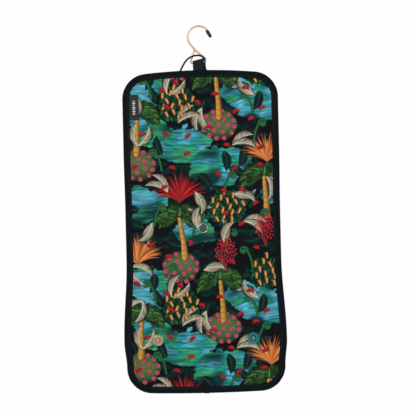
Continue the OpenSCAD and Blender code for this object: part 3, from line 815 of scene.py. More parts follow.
def printed_canvas():
    """Coated canvas: its print comes with the mesh, and the weave darkens and dulls it thread by thread."""
    m, tree, at = begin("printed_canvas")
    threads = weigh(tree, (wave(tree, at, "X", 0.55), 0.5), (wave(tree, at, "Z", 0.6), 0.5))
    fine, slow = grain(tree, at, 0.5, 3.0), grain(tree, at, 30.0, 2.0)
    shade = span(tree, weigh(tree, (threads, 0.5), (fine, 0.5)), 0.86, 1.10)
    printed = node(tree, "ShaderNodeAttribute", attribute_name="print")
    mix = node(tree, "ShaderNodeVectorMath", operation="SCALE")
    tree.links.new(printed.outputs["Color"], mix.inputs[0])
    tree.links.new(shade, mix.inputs["Scale"])
    relief = add(tree, threads, weigh(tree, (fine, 0.3)))
    surface(tree, mix.outputs[0], span(tree, weigh(tree, (slow, 0.6), (fine, 0.4)), 0.52, 0.72),
            bump(tree, relief, 0.45, 0.12), Specular_IOR_Level=DULL)
    return m


def binding_tape():
    """Ribbed edge tape. Its threads are read from "along": how far along the tape and round its section."""
    m, tree, at = begin("black_binding")
    along = node(tree, "ShaderNodeAttribute", attribute_name="along").outputs["Vector"]
    threads = weigh(tree, (wave(tree, along, "X", 0.9), 0.4), (wave(tree, along, "Y", 1.1), 0.6))
    fine, slow = grain(tree, at, 0.5, 3.0), grain(tree, at, 14.0, 2.0)
    mixed = weigh(tree, (slow, 0.5), (add(tree, threads, fine), 0.26))
    low, high = (0.0012, 0.0032, 0.0045), (0.0050, 0.0090, 0.0115)
    surface(tree, tint(tree, mixed, low, high), span(tree, mixed, 0.55, 0.8), bump(tree, threads, 0.6, 0.22),
            Specular_IOR_Level=DULL)
    return m


def clear_vinyl():
    """Clear film, almost without colour, with slow ripples."""
    m, tree, at = begin("clear_pvc")
    slow, fine = grain(tree, at, 22.0), grain(tree, at, 1.4)
    surface(tree, tint(tree, slow, (0.74, 0.83, 0.86), (0.88, 0.94, 0.95)), span(tree, fine, 0.06, 0.2),
            bump(tree, slow, 0.5, 0.8), Alpha=0.12, IOR=1.45, Coat_Weight=0.4)
    return m


PRINT_CLOTH = printed_canvas()
BINDING = binding_tape()
NYLON = cloth("nylon_lining", (0.010, 0.012, 0.016), (0.040, 0.045, 0.056), 0.4, (0.42, 0.6), 0.15, 0.12)
FOAM = plastic("foam", (0.55, 0.53, 0.46), (0.76, 0.74, 0.66), (0.85, 0.95), 0.9, 0.4)
NET = cloth("mesh_net", (0.012, 0.014, 0.018), (0.05, 0.055, 0.06), 0.5, (0.5, 0.7), 0.2, 0.1)
VINYL = clear_vinyl()
TAPE = cloth("zip_tape", (0.006, 0.007, 0.009), (0.030, 0.033, 0.040), 0.8, (0.6, 0.8), 0.2, 0.25)
COIL = plastic("zip_coil", (0.006, 0.006, 0.007), (0.025, 0.026, 0.028), (0.28, 0.42), 0.5, 0.03)
GOLD = metal("gold_metal", (0.70, 0.47, 0.22), (0.90, 0.68, 0.40), (0.16, 0.34))
WIRE = metal("gold_wire", (0.70, 0.48, 0.28), (0.80, 0.58, 0.37), (0.46, 0.54), resting=True)
SATIN = metal("gold_satin", (0.46, 0.355, 0.235), (0.54, 0.425, 0.295), (0.44, 0.48), resting=True)
STEEL = metal("steel", (0.42, 0.42, 0.42), (0.66, 0.66, 0.66), (0.22, 0.4))
RUBBER = plastic("black_rubber", (0.002, 0.003, 0.005), (0.007, 0.008, 0.012), (0.5, 0.7), 0.5, 0.04)
ELASTIC = cloth("elastic", (0.002, 0.002, 0.003), (0.009, 0.010, 0.012), 0.8, (0.7, 0.9), 0.0, 0.2)
WEBBING = cloth("webbing", (0.003, 0.006, 0.010), (0.014, 0.022, 0.032), 0.9, (0.7, 0.9), 0.0, 0.30, 1.6)
THREAD = cloth("stitch_thread", (0.006, 0.008, 0.012), (0.035, 0.042, 0.055), 0.3, (0.5, 0.7), 0.2, 0.1)
FILM = plastic("teal_film", (0.004, 0.135, 0.160), (0.012, 0.200, 0.225), (0.26, 0.36), 2.0, 0.01, 0.05,
               specular=0.12)
ENAMEL = plastic("enamel", (0.006, 0.030, 0.036), (0.035, 0.130, 0.145), (0.14, 0.26), 2.0, 0.01, 0.12,
                 specular=0.25)
LABEL = cloth("label", (0.008, 0.009, 0.012), (0.028, 0.030, 0.038), 0.45, (0.45, 0.65), 0.25, 0.12)
LABEL_MARK = cloth("label_mark", (0.42, 0.42, 0.40), (0.68, 0.68, 0.65), 0.35, (0.5, 0.7), 0.25, 0.1)


# --- Sheets and slabs on a grid ---

def steps(d0, d1, pitch, crease=None):
    """Rows from d0 to d1, closer together round a crease."""
    if crease is None or pitch <= 1.0:
        return np.linspace(d0, d1, int(round((d1 - d0) / pitch)) + 1)
    a, b = crease - 5, crease + 5
    above, below = (max(2, int(length / pitch)) + 1 for length in (a - d0, d1 - b))
    return np.concatenate([np.linspace(d0, a, above)[:-1], np.linspace(a, b, 15)[:-1],
                           np.linspace(b, d1, below)])


def gridded(xs, ds, keep, front, back=None):
    """Points and faces of a sheet over the cells that keep picks, or of a closed slab if it has a back."""
    x, d = np.meshgrid(xs, ds)
    cx, cd = (x[1:, 1:] + x[:-1, :-1]) / 2, (d[1:, 1:] + d[:-1, :-1]) / 2
    cells = keep(cx, cd)
    corner = np.zeros(x.shape, bool)
    for i, j in ((0, 0), (0, 1), (1, 0), (1, 1)):
        corner[i: x.shape[0] - 1 + i, j: x.shape[1] - 1 + j] |= cells
    number = np.full(x.shape, -1)
    number[corner] = np.arange(corner.sum())
    z = -DROP - d
    points = np.stack([x[corner], front(x, d)[corner] + 0 * x[corner], z[corner]], 1)
    a, b, c, e = number[:-1, :-1], number[:-1, 1:], number[1:, 1:], number[1:, :-1]
    quads = np.stack([a[cells], e[cells], c[cells], b[cells]], 1)
    faces = quads.tolist()
    if back is None:
        return points, faces
    n = len(points)
    points = np.concatenate([points, np.stack([x[corner], back(x, d)[corner] + 0 * x[corner], z[corner]], 1)])
    faces += (quads[:, ::-1] + n).tolist()
    padded = np.pad(cells, 1)
    rim = ((-1, 0, (0, 0), (0, 1)), (1, 0, (1, 1), (1, 0)), (0, -1, (1, 0), (0, 0)), (0, 1, (0, 1), (1, 1)))
    for di, dj, p, q in rim:
        edge = cells & ~padded[1 + di: 1 + di + cells.shape[0], 1 + dj: 1 + dj + cells.shape[1]]
        for i, j in zip(*np.nonzero(edge)):
            u, v = int(number[i + p[0], j + p[1]]), int(number[i + q[0], j + q[1]])
            faces.append((u, v, v + n, u + n))
    return points, faces


def everywhere(x, d):
    return np.ones(x.shape, bool)


def level(y):
    return lambda x, d: np.full(x.shape, y)


def bend(piece, body_a, body_b, crease):
    """Bake a piece's placement into its mesh."""
    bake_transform(piece)


FINE, COARSE = 0.7, 3.2  # the cells of the printed cloth, and the rows of what is under it


def build_layers():
    """Printed cloth, padding and lining of the four stretches, each over its crease."""
    for name, d0, d1, body_a, body_b, crease in STRETCHES:
        sections = CAD_SECTIONS[name]
        xs = np.linspace(-HALF, HALF, int(2 * HALF / FINE) + 1)
        front = gridded(xs, steps(d0, d1, FINE), lambda x, d: inset(x, d) > 4.5,
                        lambda x, d: FRONT - puff(x, d))
        cover = make("cover_" + name, *front, PRINT_CLOTH, "printed_canvas")
        colours = cover.data.color_attributes.new(name="print", type="FLOAT_COLOR", domain="POINT")
        ink_in = print_at(front[0][:, 0], -DROP - front[0][:, 2])
        colours.data.foreach_set("color", ink_in.astype(np.float32).ravel())
        bend(cover, body_a, body_b, crease)
        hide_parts(*[s + "_cover" for s in sections])
        xs = np.linspace(-HALF, HALF, 85)
        rows = steps(d0, d1, COARSE, crease)
        core = gridded(xs, rows, lambda x, d: inset(x, d) > 2.6,
                       lambda x, d: FRONT + 0.75 - 0.92 * puff(x, d), level(BACK - 0.7))
        foam = make("padding_" + name, *core, FOAM, "foam")
        bend(foam, body_a, body_b, crease)
        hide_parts(*[s + "_foam" for s in sections])
        back = gridded(xs, rows, lambda x, d: inset(x, d) > 3.0, level(BACK))
        lining = make("lining_" + name, back[0], [f[::-1] for f in back[1]], NYLON, "nylon_lining")
        bend(lining, body_a, body_b, crease)
        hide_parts(*[s + "_lining" for s in sections])


build_layers()


# --- Edge tape, folded round the rim, with its stitches ---

def tape_profile():
    """The tape's section as (inset, y), from its inner edge in front, round the rim, to the one behind."""
    front = [(11.0, -2.35), (11.05, -3.0), (10.75, -3.42), (10.2, -3.58), (9.5, -3.60), (9.0, -3.42),
             (8.6, -3.30), (8.2, -3.42), (7.6, -3.66), (6.4, -3.80), (5.2, -3.84), (4.0, -3.80),
             (2.8, -3.68), (1.7, -3.40), (0.85, -2.85), (0.25, -1.9), (0.0, -0.7)]
    behind = [(0.0, 0.7), (0.25, 1.9), (0.8, 2.75), (1.6, 3.2), (2.8, 3.38), (5.0, 3.42), (7.6, 3.40),
              (8.3, 3.30), (8.6, 3.22), (9.0, 3.30), (9.6, 3.40), (10.4, 3.40), (10.9, 3.28), (11.0, 2.9),
              (11.0, 2.35)]
    return np.array(front + behind)


RIM, SEAM = 16, 6  # rows of the section: its outermost one, and the one that is sewn, counted from either end


def edge_normals(path):
    """The outward direction at each point of an edge that runs clockwise."""
    along = ways(path)
    return np.stack([along[:, 1], -along[:, 0]], 1)


EDGE = edge_path()
NORMALS = edge_normals(EDGE)
NORMALS[0] = (0, -1)
NORMALS[-1] = (0, 1)


def tape_wave(x, d):
    """The tape's own unevenness, gone at the strap."""
    waves = 0.16 * np.sin(d * 0.11 + x * 0.09) + 0.12 * np.sin(d * 0.047 - x * 0.033 + 1.0)
    return waves * smooth(np.hypot(x, d), 20, 50)


def tape_run(path, normals, side):
    """Rings of the tape's section along part of the edge, on one side of the bag."""
    profile = tape_profile()
    wave_in = tape_wave(side * path[:, 0], path[:, 1])
    rings = []
    for (x, d), (nx, nd), w in zip(path, normals, wave_in):
        inward = profile[:, 0] * (1 + 0.02 * w)
        y = np.where(profile[:, 1] < 0, profile[:, 1] - 0.35 * w * (profile[:, 0] > 1), profile[:, 1])
        rings.append(np.stack([side * (x - nx * inward), y, -DROP - (d - nd * inward)], 1))
    return np.array(rings)


def tape_stretch(name, d0, d1):
    """One stretch's tape as rings: a run on the right and one on the left, or one run round an end."""
    d = EDGE[:, 1]
    inside = np.nonzero((d >= d0 - 1e-6) & (d <= d1 + 1e-6))[0]
    path, normals = EDGE[inside], NORMALS[inside]
    def crossing(k, level):
        t = (level - EDGE[k, 1]) / (EDGE[k + 1, 1] - EDGE[k, 1])
        return EDGE[k] * (1 - t) + EDGE[k + 1] * t
    if d0 > 0:
        path, normals = np.vstack([crossing(inside[0] - 1, d0), path]), np.vstack([normals[:1], normals])
    if d1 < BAG_H:
        path, normals = np.vstack([path, crossing(inside[-1], d1)]), np.vstack([normals, normals[-1:]])
    right, left = tape_run(path, normals, 1), tape_run(path, normals, -1)
    if name == "upper":
        return [np.concatenate([left[::-1], right[1:]])]
    if name == "lower":
        return [np.concatenate([right, left[::-1][1:]])]
    return [right, left[::-1]]


def stitches(rings, row, lift):
    """Dashes of thread lying along one line of the tape's section."""
    step, count, pitch = 0.55, 4, 5
    line = rings[:, row].copy()
    line[:, 1] += lift
    line = even(line, step)
    parts, at = [], 4
    while at + count < len(line) - 3:
        dash = line[at: at + count + 1].copy()
        dash[[0, -1], 1] -= 0.22 * np.sign(lift)
        parts.append(thin_tube(dash, 0.21, 5, (0, 1, 0.001)))
        at += pitch
    return join(*parts)


def build_binding():
    """The tape of each stretch, over its crease, and its two rows of stitches."""
    for name, d0, d1, body_a, body_b, crease in STRETCHES:
        runs = tape_stretch(name, d0, d1)
        parts, tags = [], []
        profile = tape_profile()
        across = lengths(profile)
        for rings in runs:
            parts.append(loft(rings, closed=False, caps=False))
            length = lengths(rings[:, RIM])
            around, down = np.meshgrid(across, length)
            tags.append(np.stack([down.ravel(), around.ravel(), 0 * down.ravel()], 1))
        skin = join(*parts)
        tape = make("binding_" + name, *skin, BINDING, "black_binding")
        tag(tape.data, "along", np.concatenate(tags) * MM)
        bend(tape, body_a, body_b, crease)
        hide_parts(*[s + "_binding" for s in CAD_SECTIONS[name]])
        rows = ((SEAM, -0.08), (len(profile) - 1 - SEAM, 0.08))
        sewn = join(*[stitches(r, row, lift) for r in runs for row, lift in rows])
        seam = make("stitches_" + name, *sewn, THREAD, "black_binding")
        bend(seam, body_a, body_b, crease)


build_binding()


def build_lap():
    """The tape's end, lapped over its beginning at the middle of the bottom edge."""
    near = np.nonzero((EDGE[:, 1] > BAG_H / 2) & (EDGE[:, 0] <= 5.2))[0]
    right, left = (tape_run(EDGE[near], NORMALS[near], s) for s in (1, -1))
    rings = np.concatenate([right, left[::-1][1:]])
    along = np.gradient(rings, axis=1)
    along /= np.linalg.norm(along, axis=2)[..., None]
    out = np.cross(along, np.array([1.0, 0, 0]))
    shell = np.concatenate([rings + 0.5 * out, (rings - 0.1 * out)[:, ::-1]], axis=1)
    points, faces = loft(shell)
    lap = make("binding_lap", points, faces, BINDING, "black_binding")
    tag(lap.data, "along", np.stack([points[:, 0], points[:, 2], 0 * points[:, 0]], 1) * MM)
    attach(lap, "lower_panel")


build_lap()


# --- Hook, strap, elastic loop and label ---

ARC_MID, ARC_R = np.array([0.0, -16.0]), 17.5
WIRE_R, TIP_R, TIP_LENGTH = 1.5, 2.7, 8.56


def build_hook():
    """One smooth wire: arc, neck, slanting arm, bar and closing arm, and its dipped tip."""
    sweep = np.radians(np.linspace(50.9, 212, 60))
    arc = ARC_MID + ARC_R * np.stack([np.cos(sweep), np.sin(sweep)], 1)
    start = np.array([[17.27, -13.14], [14.1, -7.7]])
    turns = np.array([[-5.6, -36.8], [11.5, -50.8], [-14.3, -56.8], [-7.6, -36.9]])
    line = np.vstack([spline(np.vstack([start, arc[:-3:6], arc[-1:], turns[:1]]), 0.6), turns[1:]])
    line = rounded(line, 3.0, 0.6)
    path = np.stack([line[:, 0], 0 * line[:, 0], line[:, 1]], 1)
    rise = smooth(np.arange(len(path)), len(path) - 14, len(path) - 1)
    path[:, 1] += 0.9 * rise
    wire = make("hook_wire_bent", *join(tube(path, WIRE_R, 20), weld_bead()), WIRE, "gold_metal")
    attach(wire, "hook")
    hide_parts("hook_wire")
    half = 1.0 - np.cos(np.radians(np.linspace(10, 90, 9)))
    end, middle = TIP_R * np.sqrt(1 - (1 - half) ** 2), 0.05 * np.sin(np.linspace(0, np.pi, 12))
    at = np.concatenate([TIP_R * (half - 1), np.linspace(0.4, 8.1, 12),
                         TIP_LENGTH - TIP_R * (half[::-1] - 1)])
    size = np.concatenate([end, TIP_R + middle, end[::-1]])
    pill = np.array([13.7, 0, -7.0]) + np.outer(at, (0.5024, 0, -0.8646))
    cap = make("hook_tip_dipped", *tube(pill, size, 24), RUBBER, "black_rubber")
    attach(cap, "hook")
    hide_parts("hook_tip")


def weld_bead():
    """The small weld where the closing arm meets the slanting one."""
    spot = np.array([[-8.0, 0.3, -36.9], [-7.4, 0.7, -36.3], [-6.8, 0.3, -35.7]])
    return tube(spot, [WIRE_R, 1.95, WIRE_R], 14)


build_hook()

ELASTIC_ROUTE = np.array([(-29.9, -1.9, -68.5), (-28.4, -2.6, -65.2), (-25.4, -3.7, -60),
                          (-21.6, -4.6, -54.4), (-16.6, -4.8, -49.6), (-9.6, -4.8, -46.4),
                          (-2.2, -4.8, -45.4), (3.4, -4.8, -46.7),
                          (7.2, -4.8, -50), (8.9, -4.8, -54.4), (8.6, -4.5, -59.5), (9.2, -3.5, -64.8),
                          (10, -2.5, -68.25)])


def build_elastic():
    """The braided cord loop in front of the hook."""
    path = spline(ELASTIC_ROUTE, 0.8)
    braid = 1.43 + 0.035 * np.sin(np.arange(len(path)) * 2.1)
    loop = make("elastic_cord", *tube(path, braid, 14), ELASTIC, "elastic")
    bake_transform(loop)
    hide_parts("elastic_loop")


build_elastic()

BAR_X, BAR_Z, BAR_TILT = -1.7, -53.87, math.tan(math.radians(13.1))


def build_strap():
    """Webbing over the bar, its two legs drawn together down to the top tape."""
    half_t, r, foot = 0.48, 2.17, -69.2 - BAR_Z
    turn = np.radians(np.linspace(0, 180, 19))
    line = [(-0.62 - 1.55 * t, foot * (1 - t)) for t in np.linspace(0, 1, 16)[:-1] ** 0.8]
    line += [(-r * math.cos(a), r * math.sin(a)) for a in turn]
    line += [(0.62 + 1.55 * t, foot * (1 - t)) for t in (np.linspace(0, 1, 16)[:-1] ** 0.8)[::-1]]
    line = np.array(line)
    out = edge_normals(line) * -1
    us = np.linspace(-1, 1, 27)
    rings = []
    for (y, z), (ny, nz) in zip(line, out):
        low = smooth(-z, 1.0, -foot)
        wide, shift = 8.75 + 0.55 * low, 0.9 * low
        tilt = BAR_TILT * (1 - smooth(-z, 0.0, -foot * 0.9))
        x = us * wide + shift
        thick = half_t * (1 - 0.35 * np.abs(us) ** 8) * (1 + 0.06 * np.cos(us * 34))
        zs = z + x * tilt
        face = np.stack([BAR_X + x, y + ny * thick, BAR_Z + zs + nz * thick], 1)
        rear = np.stack([BAR_X + x, y - ny * thick, BAR_Z + zs - nz * thick], 1)[::-1]
        rings.append(np.concatenate([face, rear]))
    strap = make("webbing_loop", *loft(rings), WEBBING, "webbing")
    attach(strap, "upper_panel")
    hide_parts("strap_loop")


build_strap()


def build_label():
    """A folded label caught under the left-hand tape, with a plain woven mark of bars."""
    left, right, top, foot = -113.5, -97.3, 37.0, 77.0
    xs, ds = np.linspace(left, right, 25), np.linspace(top, foot, 61)
    def lie(x, d):
        return FRONT - puff(x, d) - 0.25 - 0.25 * smooth(x, -108, right)
    slab = gridded(xs, ds, everywhere, lambda x, d: lie(x, d) - 0.28, lambda x, d: lie(x, d) + 0.12)
    label = make("side_label", *slab, LABEL, "label")
    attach(label, "upper_panel")
    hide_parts("woven_label")
    bars, middle = [], -104.8
    marks = ((46.5, 1.5), (49.4, 2.2), (52.8, 1.5), (56.0, 2.6), (59.8, 1.6), (62.6, 2.0), (66.0, 2.4))
    for k, (at, size) in enumerate(marks):
        half = 2.3 if k % 2 else 1.7
        xs, ds = np.linspace(middle - half, middle + half, 7), np.linspace(at, at + size, 5)
        bars.append(gridded(xs, ds, everywhere, lambda x, d: lie(x, d) - 0.36, lambda x, d: lie(x, d) - 0.2))
    mark = make("label_bars", *join(*bars), LABEL_MARK, "label")
    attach(mark, "upper_panel")


build_label()


# --- Snaps, cap and stud ---

def turned(name, profile, at, material, slot, body, *nodes, flip=False):
    """A lathe piece at a place, looking out of the print, or the other way if flipped."""
    points, faces = lathe(profile)
    if flip:
        points[:, 1] *= -1
        faces = [tuple(reversed(f)) for f in faces]
    x, d, y = at
    piece = make(name, points + np.array([x, y, -DROP - d]), faces, material, slot)
    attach(piece, body)
    if nodes:
        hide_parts(*nodes)
    return piece


def build_hardware():
    """The snaps and the right-hand one's film, the middle cap and its stud, and the flap's two snaps."""
    left, right, middle = (-SNAP_X, SNAP_AT, FRONT), (SNAP_X, SNAP_AT, FRONT), (0, CAP_AT, FRONT)
    dish = rings_of((0, -1.5), (2.0, -1.5), (2.0, 0.02), (8.6, 0.0), (9.0, 0.5), (9.0, 1.6), (8.4, 2.2),
                    (7.9, 2.2), (7.3, 1.3), (6.9, 1.15), (6.5, 1.55), (4.7, 1.60), (4.1, 0.7), (3.5, 0.7),
                    (3.0, 1.9), (3.0, 3.9), (2.5, 4.5), (1.6, 4.6), (1.2, 3.9), (0, 3.9))
    turned("snap_left_dish", dish, left, SATIN, "gold_metal", "lower_panel", "snap_left")
    turned("snap_right_dish", dish, right, SATIN, "gold_metal", "lower_panel", "snap_right")
    film = rings_of((4.1, 1.36), (4.1, 1.62), (5.2, 1.74), (7.2, 1.74), (7.9, 2.24), (8.55, 2.32),
                    (8.75, 2.0), (8.6, 1.95), (8.4, 2.18), (7.9, 2.12), (7.2, 1.5), (5.2, 1.5), (4.1, 1.36))
    turned("snap_right_teal", film, right, FILM, "teal_film", "lower_panel", "snap_right_film")
    top = rings_of((0, 4.72), (1.6, 4.72), (2.1, 4.62), (2.1, 4.5), (0, 4.5))
    turned("snap_right_dot", top, right, FILM, "teal_film", "lower_panel")
    bezel = rings_of((0, 0.0), (7.2, 0.0), (7.75, 0.6), (7.75, 1.3), (7.1, 2.0), (6.6, 1.95), (6.35, 1.5),
                     (6.3, 1.0), (0, 1.0))
    turned("cap_bezel", bezel, middle, GOLD, "gold_metal", "middle_panel", "stud_cap")
    quarter = [t * math.pi / 2 for t in np.linspace(0, 1, 22)[:-1]]
    dome = [(6.3 * math.cos(t), 1.0 + 2.0 * math.sin(t) ** 0.9) for t in quarter]
    dome = np.array([(6.3, 0.95), *dome, (0.0, 3.0)])
    turned("cap_dome", dome, middle, ENAMEL, "enamel", "middle_panel", "stud_dome")
    post = rings_of((0, 0.1), (2.5, 0.1), (2.5, 6.1), (2.9, 6.6), (2.9, 7.2), (2.3, 7.9), (0, 7.9))
    turned("stud_post_turned", post, middle, GOLD, "gold_metal", "middle_panel", "stud_post", flip=True)
    cup = rings_of((3.25, 0), (6.5, 0), (6.5, 2.8), (5.1, 3.6), (0.9, 3.6), (0.6, 3.3), (0, 3.3), (0, 3.0),
                   (3.25, 3.0), (3.25, 0.0))
    turned("stud_cup", cup, (0, CAP_AT, POUCH_Y), GOLD, "gold_metal", "pouch", "pouch_stud_socket", flip=True)
    socket = rings_of((0, -1.8), (2.0, -1.8), (2.0, 0), (8.6, 0), (9.0, 0.5), (9.0, 2.6), (8.4, 3.2),
                      (7.4, 3.2), (7.0, 2.95), (6.2, 2.95), (5.8, 3.2), (4.1, 3.2), (3.55, 2.9),
                      (3.5, 0.3), (0, 0.25))
    for x, word in ((-SNAP_X, "left"), (SNAP_X, "right")):
        turned("flap_snap_" + word + "_ring", socket, (x, FLAP_AT, FLAP_Y), SATIN, "gold_metal",
               "upper_panel", "flap_snap_" + word, flip=True)


build_hardware()


# --- Pockets and zips behind ---

# Each one's half width, top, foot, upper and lower corner radius, its face's inner y, and its zip's place
UPPER_POCKET = (106.0, 15.0, 124.0, 30.0, 8.0, 5.5, 80.0)
POUCH = (104.0, 178.0, 322.0, 12.0, 12.0, 8.5, 200.0)
LOWER_POCKET = (108.0, 361.0, 497.0, 8.0, 30.0, 8.5, 384.0)
SLOT_HALF, SLOT_H, COIL_HALF = 100.0, 10.0, 97.0


def pocket_inset(p, x, d):
    """How far inside a pocket's rounded outline a point is."""
    half, top, foot, r_top, r_foot = p[:5]
    x = np.abs(x)
    out = np.minimum(half - x, np.minimum(d - top, foot - d))
    for r, mid, side in ((r_top, top + r_top, -1), (r_foot, foot - r_foot, 1)):
        in_corner = (x > half - r) & ((d - mid) * side > 0)
        out = np.where(in_corner, r - np.hypot(x - half + r, d - mid), out)
    return out


def pocket_loop(p, step):
    """The pocket's outline as a closed line of [x, d] points, with its outward directions."""
    half, top, foot, r_top, r_foot = p[:5]
    quarter = np.linspace(0, math.pi / 2, 13)
    corners = ((half - r_top, top + r_top, r_top), (half - r_foot, foot - r_foot, r_foot),
               (-half + r_foot, foot - r_foot, r_foot), (-half + r_top, top + r_top, r_top))
    out = []
    for k, (cx, cd, r) in enumerate(corners):
        turn = quarter + (k - 1) * math.pi / 2
        out += list(zip(cx + r * np.cos(turn), cd + r * np.sin(turn)))
    line = even(np.array(out + out[:1]), step)[:-1]
    along = np.roll(line, -1, 0) - np.roll(line, 1, 0)
    along /= np.linalg.norm(along, axis=1)[:, None]
    return line, np.stack([along[:, 1], -along[:, 0]], 1)


def pocket_band(p, profile, step=2.0):
    """A section, as (inset, y) points, run round a pocket's outline."""
    line, normal = pocket_loop(p, step)
    rings = [np.stack([x - nx * profile[:, 0], profile[:, 1], -DROP - (d - nd * profile[:, 0])], 1)
             for (x, d), (nx, nd) in zip(line, normal)]
    rings.append(rings[0])
    points, faces = loft(rings, caps=False)
    return points, [f[::-1] for f in faces]


def slack(p, x, d, rise):
    """How a pocket's front swells between its edges and its zip."""
    m = pocket_inset(p, x, d)
    below = smooth(d, p[6] + 13, p[6] + 36) * smooth(m, 3, 30)
    folds = 0.5 + 0.5 * np.sin(x * 0.07 + 0.8 * np.sin(d * 0.06)) * np.sin(d * 0.05 + x * 0.02)
    hard = 1.0
    if p is UPPER_POCKET:
        for side in (-1, 1):
            hard = hard * smooth(np.hypot(x - side * SNAP_X, d - FLAP_AT), 10, 20)
    return rise * below * (0.55 + 0.45 * folds) * hard


def in_slot(p, x, d):
    return (np.abs(x) < SLOT_HALF) & (np.abs(d - p[6]) < SLOT_H / 2)


def build_pocket(p, word, body, t, material, slot, node_name, rise):
    """A pocket's front, slit for its zip."""
    def cuts(low, high, *extra):
        return np.unique(np.concatenate([np.linspace(low, high, int((high - low) / 2.5)), extra]))
    xs, ds = cuts(-p[0], p[0], -SLOT_HALF, SLOT_HALF), cuts(p[1], p[2], p[6] - SLOT_H / 2, p[6] + SLOT_H / 2)
    y0 = p[5]
    slab = gridded(xs, ds, lambda x, d: (pocket_inset(p, x, d) > 0.9) & ~in_slot(p, x, d),
                   lambda x, d: y0 + slack(p, x, d, rise), lambda x, d: y0 + t + slack(p, x, d, rise))
    front = make(word + "_front", *slab, material, slot)
    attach(front, body)
    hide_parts(node_name)


def hem(y, t):
    """The section of a folded hem over a pocket's edge, from its gusset to its front."""
    face = y + t
    return np.array([(3.2, y), (3.25, face + 0.35), (2.7, face + 0.55), (1.2, face + 0.6), (0.3, face + 0.35),
                     (0.0, face - 0.3), (0.0, y - 0.2), (0.9, y - 0.2), (0.9, y)])


def walls(y0, y1):
    """The section of a gusset, a little hollow on its way from one face to the other."""
    half_way = (y0 + y1) / 2
    return np.array([(0.05, y0), (0.0, y0 + 0.3), (-0.12, half_way), (0.0, y1 - 0.2), (0.1, y1), (1.0, y1),
                     (0.9, half_way), (1.0, y0)])


def netting(p, t, rise):
    """Open netting: slim strands in diamonds across the pocket's front."""
    parts, reach, gap = [], p[0] - 1.5 + p[2] - p[1], 3.0 * 1.4142
    strand = np.array([(0.2, 0.0), (0.0, 0.2), (-0.2, 0.0), (0.0, -0.2)])
    for s in (-1, 1):
        for c in np.arange(-reach, reach, gap):
            d = np.arange(p[1] + 1.5, p[2] - 1.4, 1.5)
            x = c + s * (d - (p[1] + p[2]) / 2)
            ok = (pocket_inset(p, x, d) > 1.2) & ~in_slot(p, x, d)
            edges = np.nonzero(np.diff(np.concatenate([[0], ok.astype(int), [0]])))[0].reshape(-1, 2)
            for a, b in edges:
                if b - a < 2:
                    continue
                xx, dd = x[a:b], d[a:b]
                y = p[5] + t / 2 + slack(p, xx, dd, rise) + 0.18 * s * np.cos(np.arange(len(xx)) * math.pi)
                slant = strand[:, 0] * 0.7
                parts.append(loft(np.stack([xx[:, None] + slant, y[:, None] + strand[:, 1],
                                            -DROP - dd[:, None] + s * slant], 2)))
    return join(*parts)


def coil(p):
    """A zip's coil: two rows of small interlocked loops, and the stops at its ends."""
    def bit(path, radius, sides):
        return thin_tube(path, radius, sides, np.cross((1.0, 0, 0), ways(path)))
    parts, pitch = [], 1.35
    at = np.array([0, p[5], -DROP - p[6]])
    tooth = np.array([(0, 0.15, 2.35), (0, 0.9, 2.45), (0, 1.5, 1.5), (0, 1.55, 0.2), (0, 1.25, -0.45),
                      (0, 0.75, -0.2), (0, 0.3, 0.6)])
    for row, shift in ((-1, 0.0), (1, pitch / 2)):
        for x in np.arange(-COIL_HALF + 1.2, COIL_HALF - 1.1, pitch) + shift:
            parts.append(bit(tooth * (1, 1, row) + at + (x, 0.08, 0), 0.34, 5))
    for side in (-1, 1):
        for k in (-1.1, 1.1):
            stop = np.array([(0, 1.1, k), (0, 1.3, k * 1.6)]) + (side * COIL_HALF, 0, 0)
            parts.append(bit(stop + at, 0.65, 8))
    return join(*parts)


def tape_slab(p):
    """The zip's tape behind its slot, thicker along the cord at the coil."""
    xs, ds = np.linspace(-101.2, 101.2, 82), np.linspace(p[6] - 13, p[6] + 13, 27)
    def face(x, d):
        return p[5] - 0.02 + 0.22 * np.exp(-((np.abs(d - p[6]) - 3.6) / 0.8) ** 2)
    return gridded(xs, ds, everywhere, level(p[5] - 0.6), face)


def slit_hem(p, t):
    """Turned and stitched edges of the slot."""
    parts, y = [], p[5] + t + 0.10
    section = np.array([(0, -0.3, 1.2), (0, 0.2, 1.0), (0, 0.32, 0.0), (0, 0.2, -0.9), (0, -0.3, -1.0)])
    for s in (-1, 1):
        z = -DROP - p[6] - s * (SLOT_H / 2 + 0.9)
        line = even(np.array([(-SLOT_HALF, y, z), (SLOT_HALF, y, z)]), 2.0)
        rings = line[:, None] + section * (1, 1, s)
        parts.append(loft(rings if s > 0 else rings[:, ::-1]))
    return join(*parts)


